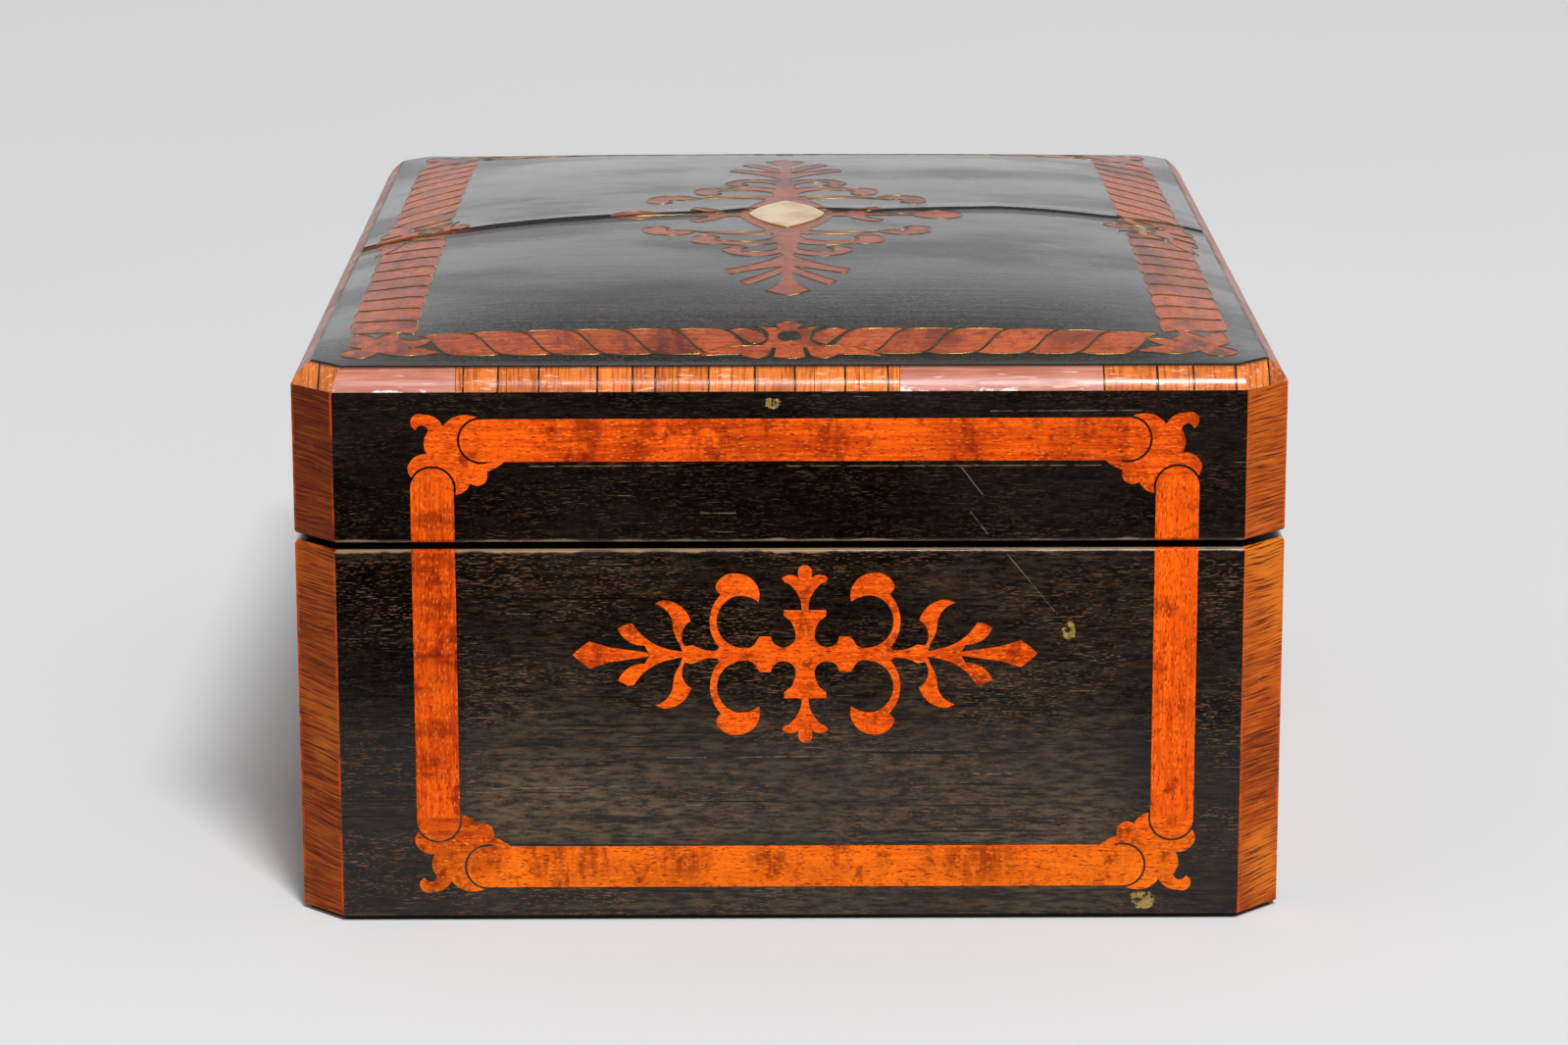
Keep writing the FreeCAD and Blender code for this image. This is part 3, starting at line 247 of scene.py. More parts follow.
class Shader(Tree):
    """A material with one principled surface."""

    def __init__(self, name, settings):
        self.material = bpy.data.materials.new(name)
        self.material.use_nodes = True
        super().__init__(self.material.node_tree)
        self.surface = self.tree.nodes["Principled BSDF"]
        for socket, value in settings.items():
            self.surface.inputs[socket].default_value = value
        self.place = self.add("ShaderNodeTexCoord").outputs["Object"]

    def give(self, socket, value):
        """Feeds one of the surface's own sockets."""
        self.feed(self.surface.inputs[socket], value)

    def parts(self):
        """The place along X, Y and Z."""
        return self.add("ShaderNodeSeparateXYZ", {"Vector": self.place}).outputs

    def scaled(self, scale, turn=(0, 0, 0), shift=(0, 0, 0)):
        """The place turned, then stretched by scale along each axis and shifted."""
        turned = self.add("ShaderNodeVectorRotate", {"Vector": self.place, "Rotation": turn},
                          rotation_type="EULER_XYZ").outputs[0]
        return self.add("ShaderNodeVectorMath", {0: turned, 1: scale, 2: shift},
                        operation="MULTIPLY_ADD").outputs[0]

    def noise(self, vector, detail=3.0, rough=0.55, warp=0.0):
        """Soft random levels between 0 and 1."""
        return self.add("ShaderNodeTexNoise", {"Vector": vector, "Scale": 1.0, "Detail": detail,
                                               "Roughness": rough, "Distortion": warp}).outputs["Fac"]

    def specks(self, vector, share, size):
        """Separate small dots, in that share of the cells."""
        cells = self.add("ShaderNodeTexVoronoi", {"Vector": vector, "Scale": 1.0}).outputs
        pick = self.add("ShaderNodeSeparateColor", {"Color": cells["Color"]}).outputs[0]
        dot = self.step(cells["Distance"], size, 0.4 * size)
        return self.calc("MULTIPLY", dot, self.step(pick, 1.0 - share, 1.0 - 0.7 * share))

    def mix(self, amount, a, b):
        """The colour that far from a to b, each a tone or the output of another node."""
        node = self.add("ShaderNodeMix", data_type="RGBA")
        self.feed(node.inputs[0], amount)
        for socket, tone in ((node.inputs[6], a), (node.inputs[7], b)):
            self.feed(socket, (*tone, 1.0) if isinstance(tone, tuple) else tone)
        return node.outputs[2]

    def tint(self, tone, mask, strength, over):
        """The tone with another laid over it, at that strength where the mask is 1."""
        return self.mix(self.calc("MULTIPLY", mask, strength), tone, over)

    def bump(self, height, distance):
        """Relief of that depth, on top of any relief given before."""
        node = self.add("ShaderNodeBump", {"Height": height, "Distance": distance})
        if self.surface.inputs["Normal"].is_linked:
            self.feed(node.inputs["Normal"], self.surface.inputs["Normal"].links[0].from_socket)
        self.give("Normal", node.outputs[0])

    def curve(self, value, points):
        """A broken line through points, both ways from 0 to 1."""
        node = self.add("ShaderNodeFloatCurve", {"Value": value})
        line = node.mapping.curves[0].points
        while len(line) > 2:
            line.remove(line[1])
        for at, place in zip(line, (points[0], points[-1])):
            at.location = place
        for place in points[1:-1]:
            line.new(*place)
        for at in line:
            at.handle_type = "VECTOR"
        node.mapping.update()
        return node.outputs[0]


def grain_scale(axis, along, across):
    """Frequencies per metre with the slow one along the grain."""
    scale = [across, across, across]
    scale[axis] = along
    return tuple(scale)


def end_place(s):
    """Place on the photographed end, with the depth left out."""
    return s.vector("MULTIPLY", s.place, (0, 1, 1))


def any_of(s, masks):
    """The strongest of several masks."""
    total = masks[0]
    for mask in masks[1:]:
        total = s.calc("MAXIMUM", total, mask)
    return total


def streaks(s, lines, wide):
    """Nearness to straight lines on the photographed end."""
    place = end_place(s)
    masks = []
    for start, stop in lines:
        foot = Vector((0, start[0], start[1])) * MM
        run = Vector((0, stop[0], stop[1])) * MM - foot
        off = s.vector("SUBTRACT", place, tuple(foot))
        share = s.vector("DOT_PRODUCT", off, tuple(run / run.length_squared))
        near = s.times(tuple(run), s.step_line(share, 0.0, 1.0))
        masks.append(s.step(s.vector("DISTANCE", off, near), wide, 0.3 * wide))
    return any_of(s, masks)


def blots(s, spots):
    """Soft oval spots on the photographed end."""
    place = end_place(s)
    masks = []
    for across, up, wide, tall in spots:
        off = s.vector("SUBTRACT", place, (0, across * MM, up * MM))
        share = s.vector("MULTIPLY", off, (0, 1 / (wide * MM), 1 / (tall * MM)))
        masks.append(s.step(s.vector("LENGTH", share), 1.2, 0.4))
    return any_of(s, masks)


def crack_marks(s):
    """The split of the lid. Gives it curled lips, and a step up behind it that widens to the left.

    Returns the nearness to its dark line, which is painted shade a few mm wide where the curled lips
    shade the split, and to the torn wood at its left end.
    """
    x, y = s.parts()[:2]
    points = [((place + 0.5 * WIDTH) / WIDTH, (at - CRACK_LOW) / CRACK_SPAN) for at, place in CRACK_LINE]
    along = s.step_line(y, -0.5 * WIDTH, 0.5 * WIDTH)
    line = s.curve(along, sorted(points))
    middle = s.calc("MULTIPLY_ADD", line, CRACK_SPAN, CRACK_LOW + 0.5 * CRACK_WIDTH)
    beyond = s.calc("SUBTRACT", x, middle)
    off = s.calc("ABSOLUTE", beyond)
    wide = s.calc("MULTIPLY_ADD", along, 3.5 * MM, 1.0 * MM)
    share = s.calc("DIVIDE", s.calc("SUBTRACT", beyond, 0.5 * CRACK_WIDTH), wide)
    s.bump(s.step(off, 8.0 * MM, 0.2 * MM), CRACK_LIP)
    s.bump(s.calc("MULTIPLY", wide, s.step_line(share, 0.0, 1.0)), CRACK_SLOPE)
    ragged = s.calc("MULTIPLY_ADD", s.noise(s.scaled((90, 90, 90)), detail=3), 2.6 * MM, off)
    # Painted shade along the split, wider than the gap itself.
    dark = s.step(ragged, 4.4 * MM, 2.2 * MM)
    torn = s.calc("MULTIPLY", s.step(ragged, 5.4 * MM, 3.2 * MM), s.step(y, *TORN_FROM))
    return dark, torn


def faded_sheen_share(s, axis, half):
    """How far the veneer within half of the middle has faded and carries painted floor sheen: most low
    down, and less at the foot.
    """
    along = s.parts()[axis]
    z = s.parts()["Z"]
    inside = s.step(s.calc("ABSOLUTE", along), half + 4 * MM, half - 14 * MM)
    inside = s.calc("MULTIPLY", inside, s.step(z, *FADE_SHEEN_FOOT, (0.4, 1.0)))
    return s.calc("MULTIPLY", inside, s.step(z, *FADE_SHEEN_HEAD, (0.10, 1.0)))


def glue_drops(s, tone, spots):
    """The tone with torn drops of old glue on it."""
    torn = s.step_line(s.noise(s.scaled((900, 900, 900)), detail=4), 0.3, 0.7)
    drop = s.step(s.calc("MULTIPLY", blots(s, spots), torn), 0.26, 0.40)
    return s.mix(drop, tone, s.mix(torn, *GLUE))


def worn_edge(s, tone, level):
    """The tone with bare wood where the edge at that level is rubbed through."""
    near = s.calc("ABSOLUTE", s.calc("SUBTRACT", s.parts()["Z"], level))
    ragged = s.noise(s.scaled((110, 110, 110)), detail=4)
    limit = s.step(ragged, 0.35, 0.75, (0.1 * MM, 0.8 * MM))
    worn = s.step(s.calc("SUBTRACT", near, limit), 0.3 * MM, -0.2 * MM)
    return s.tint(tone, worn, 0.7, EBONY_WORN)


def ebony(name, axis, tones, dryness, wear_level=None, half=None, cracked=False, scratched=(), glue=(),
          waves=0.055, shine=0.36):
    """Blackened polished veneer: streaks, fine brown pores, short scratches, dust and a rubbed edge.

    Half is how far the frame of inlay reaches from the middle. The veneer within it has faded to brown,
    and is painted paler low down with the floor's reflected sheen.
    """
    s = Shader(name, {"Specular IOR Level": shine})
    deep, brown, pale = tones
    pores = s.calc("MAXIMUM", s.specks(s.scaled(grain_scale(axis, 300, 2600)), 0.5, 0.40),
                   s.specks(s.scaled(grain_scale(axis, 800, 4300), shift=(7, 3, 5)), 0.6, 0.42))
    clouds = s.step(s.noise(s.scaled(grain_scale(axis, 16, 34)), detail=4), 0.36, 0.66)
    bars = s.noise(s.scaled(grain_scale(axis, 30, 480), shift=(3, 1, 2)), detail=4, rough=0.62)
    fine = s.noise(s.scaled(grain_scale(axis, 240, 1150), shift=(4, 7, 9)), detail=4, rough=0.72)
    swell = s.noise(s.scaled(grain_scale(axis, 24, 190), shift=(1, 5, 2)), detail=3)
    dry = s.step(s.noise(s.scaled(grain_scale(axis, 40, 110)), detail=3), 0.40, 0.66)
    checks = s.step(s.noise(s.scaled(grain_scale(axis, 17, 1200), shift=(8, 8, 8)), detail=2), 0.63, 0.67)
    lines = s.noise(s.scaled(grain_scale(axis, 46, 3900), turn=(0.02, 0.015, 0.02)), detail=1)
    scratches = s.step(lines, 0.757, 0.79)
    dust = s.specks(s.scaled((1500, 1500, 1500), shift=(9, 1, 4)), 0.07, 0.26)
    tone = s.mix(clouds, deep, brown)
    # Inside the frame the veneer is paler: real fading, and painted sheen of the floor's reflection.
    if half is not None:
        faded_sheen = s.mix(s.step(clouds, 0.0, 1.0, (0.45, 1.0)), brown, pale)
        tone = s.mix(faded_sheen_share(s, axis, half), tone, faded_sheen)
    tone = s.mix(s.step(bars, 0.46, 0.32, (0.0, 0.8)), tone, deep)
    tone = s.mix(s.step(bars, 0.54, 0.76, (0.0, 0.4)), tone, pale)
    tone = s.times(tone, s.step(fine, 0.36, 0.66, (0.2, 1.9)))
    flecks = s.calc("MULTIPLY", pores, s.calc("MULTIPLY_ADD", dry, dryness, 0.08))
    tone = s.mix(flecks, tone, EBONY_FLECK)
    tone = s.mix(checks, tone, EBONY_CHECK)
    if scratched:
        ragged = s.step(s.noise(s.scaled((420, 420, 420)), detail=4), 0.34, 0.58)
        marks = s.calc("MULTIPLY", streaks(s, scratched, SCRATCH_WIDTH), ragged)
        scratches = s.calc("MAXIMUM", scratches, marks)
    tone = s.tint(tone, scratches, 0.32, EBONY_SCRATCH)
    tone = s.tint(tone, dust, 0.4, EBONY_DUST)
    if glue:
        tone = glue_drops(s, tone, glue)
    if wear_level is not None:
        tone = worn_edge(s, tone, wear_level)
    matt = s.step(s.calc("ADD", clouds, flecks), 0.0, 1.5, (0.16, 0.32))
    if cracked:
        dark, torn = crack_marks(s)
        # Painted shade of the curled lips along the split.
        tone = s.mix(dark, tone, EBONY_CRACK_SHADE)
        tone = s.tint(tone, torn, 0.8, EBONY_TORN)
        matt = s.calc("MULTIPLY_ADD", dark, 0.5, matt)
        motes = s.noise(s.scaled((1100, 1400, 1400), shift=(6, 2, 2)), detail=3, rough=0.7)
        film = s.step(motes, 0.48, 0.70)
        tone = s.tint(tone, film, 0.16, EBONY_FILM)
        s.bump(film, 0.012 * MM)
    s.give("Base Color", tone)
    s.give("Roughness", matt)
    s.bump(swell, waves * MM)
    s.bump(bars, 0.03 * MM)
    s.bump(s.calc("ADD", pores, s.calc("ADD", scratches, checks)), -0.007 * MM)
    return s.material


def turn_uprights(s, axis, half):
    """Lets the grain run up in the upright bands, which stand farther than half from the middle."""
    x, y, z = s.parts()
    run = (x, y)[axis]
    low, high = UPRIGHTS
    upright = s.step(s.calc("ABSOLUTE", run), half - UPRIGHT_BLUR, half + UPRIGHT_BLUR)
    upright = s.calc("MULTIPLY", upright, s.step(z, low - UPRIGHT_BLUR, low + UPRIGHT_BLUR))
    upright = s.calc("MULTIPLY", upright, s.step(z, high + UPRIGHT_BLUR, high - UPRIGHT_BLUR))
    turned = {"X": x, "Y": y}
    turned["XY"[axis]] = s.calc("ADD", run, s.calc("MULTIPLY", upright, s.calc("SUBTRACT", z, run)))
    turned["Z"] = s.calc("ADD", z, s.calc("MULTIPLY", upright, s.calc("SUBTRACT", run, z)))
    s.place = s.add("ShaderNodeCombineXYZ", turned).outputs[0]


def side_dirt(s, tone):
    """The tone with dirt along the long sides of the lid, thickest in the corners."""
    x, y = s.parts()[:2]
    sides = s.step(s.calc("ABSOLUTE", y), *DIRTY_SIDES)
    corners = s.calc("MULTIPLY", sides, s.step(s.calc("ABSOLUTE", x), *DIRTY_CORNERS))
    dirt = s.noise(s.scaled((130, 260, 260), shift=(3, 6, 1)), detail=4, rough=0.65)
    share = s.calc("MULTIPLY_ADD", corners, 0.40, s.calc("MULTIPLY", sides, 0.35))
    return s.tint(tone, s.step(dirt, 0.40, 0.62), share, SATIN_DIRT)


def satinwood(name, axis, tones, half=None, cracked=False, smudges=(), shine=0.08):
    """Orange inlay wood with darker cross figure, fine grain, dirty pores and small stains.

    Half is how far from the middle the upright bands stand, whose grain runs up.
    """
    s = Shader(name, {"Specular IOR Level": shine})
    light, dark = tones
    bright = (min(light[0] * 1.7, 1.0), light[1] * 2.5, light[2] * 3.0)
    rubbed = (min(bright[0] * 1.1, 1.0), bright[1] * 1.9, bright[2] + 0.02)
    flat_place = s.place
    height = s.parts()["Z"]
    if half is not None:
        turn_uprights(s, axis, half)
    flame = s.noise(s.scaled(grain_scale(axis, 95, 26), shift=(5, 2, 7)), detail=4, warp=0.5)
    patches = s.noise(s.scaled((21, 21, 21), shift=(2, 9, 4)), detail=2)
    grain = s.noise(s.scaled(grain_scale(axis, 90, 1500)), detail=4, rough=0.65)
    pores = s.calc("MAXIMUM", s.specks(s.scaled(grain_scale(axis, 380, 1900)), 0.5, 0.40),
                   s.specks(s.scaled(grain_scale(axis, 900, 3300), shift=(1, 8, 3)), 0.5, 0.45))
    rubs = s.specks(s.scaled(grain_scale(axis, 700, 1800), shift=(4, 4, 9)), 0.30, 0.40)
    stains = s.step(s.noise(s.scaled((300, 300, 300)), detail=4, rough=0.65), 0.50, 0.72)
    piece = s.add("ShaderNodeNewGeometry").outputs["Random Per Island"]
    shade = s.calc("MULTIPLY", s.step(flame, 0.45, 0.66), s.step(patches, 0.38, 0.58))
    if smudges:
        mottle = s.step(s.noise(s.scaled(grain_scale(axis, 420, 110)), detail=5, rough=0.65), 0.34, 0.60)
        s.place = flat_place
        smudged = s.calc("MULTIPLY", s.calc("MULTIPLY", blots(s, smudges), 0.7), mottle)
        shade = s.calc("MAXIMUM", s.calc("MULTIPLY", shade, 0.4), smudged)
    tone = s.mix(s.step(grain, 0.40, 0.63), light, bright)
    tone = s.mix(s.step(patches, 0.62, 0.34, (0.0, 0.5)), tone, bright)
    if half is not None:
        tone = s.mix(s.step(height, 26 * MM, 10 * MM, (0.0, 0.5)), tone, SATIN_FOOT)
    tone = s.tint(tone, shade, 0.95, dark)
    tone = s.tint(tone, stains, 0.8, dark)
    tone = s.tint(tone, pores, 0.9, dark)
    tone = s.tint(tone, rubs, 0.55, rubbed)
    tone = s.mix(s.step(piece, 0.0, 1.0, (0.0, 0.22)), tone, dark)
    if cracked:
        tone = side_dirt(s, tone)
        # Painted shade of the curled lips along the split.
        tone = s.mix(crack_marks(s)[0], tone, SATIN_CRACK_SHADE)
    s.give("Base Color", tone)
    s.give("Roughness", s.step(grain, 0.3, 0.7, (0.26, 0.40)))
    s.bump(s.calc("SUBTRACT", s.calc("MULTIPLY", grain, 0.5), pores), 0.03 * MM)
    return s.material


def rosewood(name, tones, gold_and_light_share, painted_shade_left):
    """Corner strips: brown wood with fine leaning lines, rubbed redder along both edges, with painted
    light on the right side and painted shade on the left.
    """
    s = Shader(name, {"Specular IOR Level": 0.05})
    x, y, z = s.parts()
    spread = s.calc("SUBTRACT", s.calc("ABSOLUTE", x), s.calc("ABSOLUTE", y))
    wander = s.calc("MULTIPLY", s.noise(s.scaled((40, 40, 40)), detail=2), 0.003)
    level = s.calc("ADD", s.calc("MULTIPLY_ADD", spread, 0.05, z), wander)
    at = s.add("ShaderNodeCombineXYZ", {"X": s.calc("MULTIPLY", spread, 70.0),
                                        "Y": s.calc("MULTIPLY", level, 3000.0),
                                        "Z": s.calc("MULTIPLY", s.calc("ADD", y, x), 9.0)}).outputs[0]
    lines = s.noise(at, detail=2)
    pores = s.step(lines, 0.53, 0.63)
    broad = s.noise(s.scaled((22, 22, 75), shift=(1, 4, 2)), detail=3)
    # Painted light: the right side, half way up, is lit gold on top of the real golden patches.
    painted_light_right = s.calc("MULTIPLY", s.step(z, 44 * MM, 74 * MM), s.step(y, 0.0, -50 * MM, (0.0, 0.16)))
    gold_and_painted_light = s.calc("ADD", s.noise(s.scaled((30, 30, 30), shift=(6, 1, 3)), detail=3), painted_light_right)
    tone = s.mix(s.step(broad, 0.35, 0.68), *tones)
    tone = s.tint(tone, s.step(gold_and_painted_light, 0.50, 0.66), gold_and_light_share, ROSE_GOLD_AND_LIT)
    tone = s.mix(s.step(lines, 0.48, 0.36, (0.0, 0.35)), tone, ROSE_LINE)
    # Painted shade: the left side is darker.
    tone = s.mix(s.step(y, -20 * MM, 20 * MM, (0.0, painted_shade_left)), tone, ROSE_PAINTED_SHADE)
    tone = s.tint(tone, pores, 0.85, ROSE_PORE)
    across = s.calc("SUBTRACT", spread, (LENGTH - WIDTH) / 2)
    edge = s.step(s.calc("ABSOLUTE", across), CHAMFER - 1.3 * MM, CHAMFER - 0.5 * MM)
    rubbing = s.step(s.noise(s.scaled((150, 150, 150)), detail=3), 0.42, 0.60, (0.0, 0.8))
    tone = s.tint(tone, edge, rubbing, ROSE_RUBBED)
    chips = s.step(s.noise(s.scaled((330, 330, 330), shift=(3, 3, 3)), detail=2), 0.67, 0.71)
    tone = s.tint(tone, chips, s.step(edge, 0.0, 1.0, (0.06, 0.7)), ROSE_CHIP)
    s.give("Base Color", tone)
    s.give("Roughness", s.step(broad, 0.3, 0.7, (0.28, 0.42)))
    s.bump(s.calc("SUBTRACT", 1.0, pores), 0.03 * MM)
    return s.material


def painted_brow_shade(s, tone, z):
    """The tone with painted shade along the bevel's upper edge, where it meets the top."""
    return s.mix(s.step(z, Z_BROW - 0.75 * MM, Z_BROW - 0.15 * MM), tone, BROW_PAINTED_SHADE)


def bevel_round(s, z):
    """The bevel is worn round: highest half way up."""
    middle = 0.5 * (Z_SHOULDER + Z_BROW)
    share = s.calc("DIVIDE", s.calc("SUBTRACT", z, middle), 0.5 * (Z_BROW - Z_SHOULDER))
    return s.calc("SUBTRACT", 1.0, s.calc("MULTIPLY", share, share))


def banding(name):
    """Short cross-banded pieces, each its own tone, with the grain running up the bevel, and painted
    shade on the long sides.
    """
    s = Shader(name, {"Specular IOR Level": 0.5})
    x, y, z = s.parts()
    normal = s.add("ShaderNodeTexCoord").outputs["Normal"]
    nx, ny = s.add("ShaderNodeSeparateXYZ", {"Vector": normal}).outputs[:2]
    end = s.step(s.calc("SUBTRACT", s.calc("ABSOLUTE", nx), s.calc("ABSOLUTE", ny)), -0.4, -0.3)
    along = s.calc("ADD", x, s.calc("MULTIPLY", end, s.calc("SUBTRACT", y, x)))
    lengths = s.calc("MULTIPLY", along, 125.0)
    cells = s.add("ShaderNodeTexVoronoi", {"W": lengths, "Scale": 1.0}, voronoi_dimensions="1D").outputs
    piece = s.add("ShaderNodeSeparateColor", {"Color": cells["Color"]}).outputs[0]
    edge = s.add("ShaderNodeTexVoronoi", {"W": lengths, "Scale": 1.0}, voronoi_dimensions="1D",
                 feature="DISTANCE_TO_EDGE").outputs["Distance"]
    joint = s.step(edge, 0.034, 0.014)
    at = s.add("ShaderNodeCombineXYZ", {"X": s.calc("MULTIPLY", along, 2100.0),
                                        "Y": s.calc("MULTIPLY", z, 190.0),
                                        "Z": s.calc("MULTIPLY", piece, 40.0)}).outputs[0]
    lines = s.noise(at, detail=3)
    clouds = s.noise(s.scaled((120, 120, 240), shift=(2, 3, 1)), detail=3)
    light = s.mix(piece, *BAND_LIGHT)
    dark = s.mix(piece, *BAND_DARK)
    tone = s.mix(s.step(lines, 0.58, 0.34, (0.0, 0.75)), light, dark)
    tone = s.mix(s.step(clouds, 0.52, 0.72, (0.0, 0.7)), tone, dark)
    # Pale scuffs: partly real wear, partly painted glints.
    scuffs = s.step(s.noise(s.scaled((1500, 260, 1500), shift=(4, 4, 1)), detail=3), 0.56, 0.70)
    tone = s.tint(tone, scuffs, 0.5, BAND_SCUFF_AND_GLINT)
    tone = s.mix(joint, tone, BAND_JOINT)
    # Painted shade on the bevels of the long sides.
    tone = s.mix(s.step(end, 1.0, 0.0, (0.0, 0.5)), tone, BAND_SIDE_PAINTED_SHADE)
    s.give("Base Color", painted_brow_shade(s, tone, z))
    gloss = s.step(clouds, 0.3, 0.7, (0.16, 0.30))
    s.give("Roughness", s.calc("ADD", gloss, s.step(end, 1.0, 0.0, (0.0, 0.12))))
    s.bump(bevel_round(s, z), 0.34 * MM)
    s.bump(s.calc("SUBTRACT", lines, s.calc("MULTIPLY", joint, 3.0)), 0.02 * MM)
    return s.material


def repair(name):
    """Plain pinkish lengths let in where banding was lost, scuffed and less polished."""
    s = Shader(name, {"Specular IOR Level": 0.5})
    z = s.parts()["Z"]
    grain = s.noise(s.scaled((1800, 60, 1800)), detail=3)
    scuffs = s.step(s.noise(s.scaled((1500, 160, 1500), shift=(4, 4, 1)), detail=2), 0.62, 0.72)
    clouds = s.noise(s.scaled((120, 60, 120)), detail=3)
    tone = s.mix(s.step(grain, 0.35, 0.65), *REPAIR_WOOD)
    tone = s.mix(s.step(clouds, 0.5, 0.7, (0.0, 0.6)), tone, REPAIR_CLOUD)
    tone = s.tint(tone, scuffs, 0.6, REPAIR_SCUFF)
    torn = s.noise(s.scaled((260, 160, 260)), detail=5, rough=0.7)
    ragged = s.step(torn, 0.46, 0.70, (-0.4 * MM, 1.0 * MM))
    chipped = s.step(s.calc("SUBTRACT", s.calc("SUBTRACT", z, Z_SHOULDER), ragged), 0.2 * MM, -0.3 * MM)
    tone = s.mix(chipped, tone, REPAIR_CHIP)
    s.give("Base Color", painted_brow_shade(s, tone, z))
    s.give("Roughness", s.step(clouds, 0.3, 0.7, (0.28, 0.42)))
    s.bump(bevel_round(s, z), 0.22 * MM)
    s.bump(s.calc("ADD", grain, scuffs), 0.02 * MM)
    return s.material


def darker(tone, share):
    """The tone at that share of its level."""
    return tuple(share * level for level in tone)


def plain_wood(name, axis, tones):
    """Unpolished inside wood with growth lines along one axis."""
    s = Shader(name, {"Specular IOR Level": 0.35})
    rings = s.noise(s.scaled(grain_scale(axis, 7, 260)), detail=4, warp=0.5)
    grain = s.noise(s.scaled(grain_scale(axis, 60, 2400)), detail=2)
    tone = s.mix(s.step(rings, 0.35, 0.68), *tones)
    tone = s.mix(s.step(grain, 0.55, 0.75, (0.0, 0.5)), tone, darker(tones[1], 0.6))
    s.give("Base Color", tone)
    s.give("Roughness", s.step(grain, 0.3, 0.7, (0.55, 0.72)))
    s.bump(s.calc("ADD", rings, grain), 0.05 * MM)
    return s.material


def metal(name, tones, rough=(0.24, 0.45), bright=1.0):
    """Old metal: clean where rubbed, brown in patches, with fine scratches."""
    s = Shader(name, {"Metallic": bright})
    patches = s.noise(s.scaled((130, 130, 130)), detail=4)
    scratches = s.noise(s.scaled((500, 4200, 4200), turn=(0.3, 0.2, 0.5)), detail=2)
    s.give("Base Color", s.mix(s.step(patches, 0.45, 0.72), *tones))
    s.give("Roughness", s.step(patches, 0.35, 0.70, rough))
    s.bump(scratches, 0.01 * MM)
    return s.material


def pile(name, tones, sheen):
    """Velvet or baize: short nap with brushed patches and a soft sheen."""
    s = Shader(name, {"Roughness": 0.95, "Specular IOR Level": 0.15, "Sheen Weight": sheen,
                      "Sheen Roughness": 0.4})
    nap = s.noise(s.scaled((2600, 2600, 2600)), detail=2)
    brushed = s.noise(s.scaled((26, 26, 26)), detail=3, warp=0.6)
    tone = s.mix(s.step(brushed, 0.35, 0.70), *tones)
    tone = s.mix(s.step(nap, 0.45, 0.70, (0.0, 0.45)), tone, darker(tones[0], 0.4))
    s.give("Base Color", tone)
    s.bump(nap, 0.2 * MM)
    return s.material


def dress(material, *names):
    """The one material of each of these nodes, in every slot."""
    for name in names:
        slots = nodes[name].data.materials
        slots.clear()
        slots.append(material)


def paint_sides():
    """Veneers, inlays and walls of the four sides. The photographed end has marks of its own."""
    sheen_fade_to = [0.5 * size - FADE_SHEEN_INSET for size in (LENGTH, WIDTH)]
    uprights_from = [0.5 * size - UPRIGHT_INSET for size in (LENGTH, WIDTH)]
    runs = (("long", ("front", "back")), ("end", ("left", "right")))
    for axis, (run, sides) in enumerate(runs):
        base = ebony("ebony_base_" + run, axis, EBONY_FADED_SHEEN, 0.5, Z_RIM, half=sheen_fade_to[axis])
        lid = ebony("ebony_lid_" + run, axis, EBONY_BLACK, 0.2, Z_LID)
        inlay = satinwood("satinwood_" + run, axis, SATIN_SIDE, half=uprights_from[axis])
        carcase = plain_wood("carcase_" + run, axis, CARCASE)
        for side in sides:
            dress(base, "base_%s_veneer" % side)
            dress(lid, "lid_%s_veneer" % side)
            dress(inlay, "base_%s_inlay" % side, "lid_%s_inlay" % side)
            dress(carcase, "base_%s_wall" % side, "lid_%s_wall" % side)
        if run == "long":
            dress(carcase, "lid_board_left", "lid_board_right", "base_bottom_board", "false_floor",
                  "drawer_runners")
        else:
            dress(base, "drawer_face_veneer")
    dress(ebony("ebony_base_seen", 1, EBONY_FADED_SHEEN, 0.75, Z_RIM, half=sheen_fade_to[1],
                scratched=BASE_SCRATCHES, glue=BASE_GLUE), "base_left_veneer")
    dress(ebony("ebony_lid_seen", 1, EBONY_BLACK, 0.2, Z_LID,
                scratched=LID_SCRATCHES, glue=LID_GLUE), "lid_left_veneer")
    dress(satinwood("satinwood_seen", 1, SATIN_SIDE, half=uprights_from[1], smudges=SMUDGES),
          "base_left_inlay", "lid_left_inlay")
    dress(rosewood("rosewood_base", ROSE_BASE, 0.7, 0.35), "base_corner_veneers")
    dress(rosewood("rosewood_lid", ROSE_LID, 0.25, 0.62), "lid_corner_veneers")
    dress(ebony("ebony_rim", 0, EBONY_BLACK, 0.4), "base_rim_facing", "lid_rim_facing")


def paint_lid_top():
    """The domed top with its inlays and the bevel round it."""
    dress(ebony("ebony_top", 1, EBONY_BLACK, 0.3, cracked=True, waves=0.02, shine=0.45), "lid_top_veneer")
    dress(satinwood("satinwood_top", 1, SATIN_TOP, cracked=True, shine=0.3),
          "lid_rope_border", "lid_flowers")
    dress(satinwood("satinwood_middle", 1, SATIN_MIDDLE, cracked=True, shine=0.5), "lid_arabesque")
    dress(metal("cartouche_brass", CARTOUCHE_BRASS, (0.28, 0.40), 0.45), "lid_cartouche")
    dress(banding("banding"), "lid_edge_banding")
    dress(repair("repair"), "lid_edge_repairs")


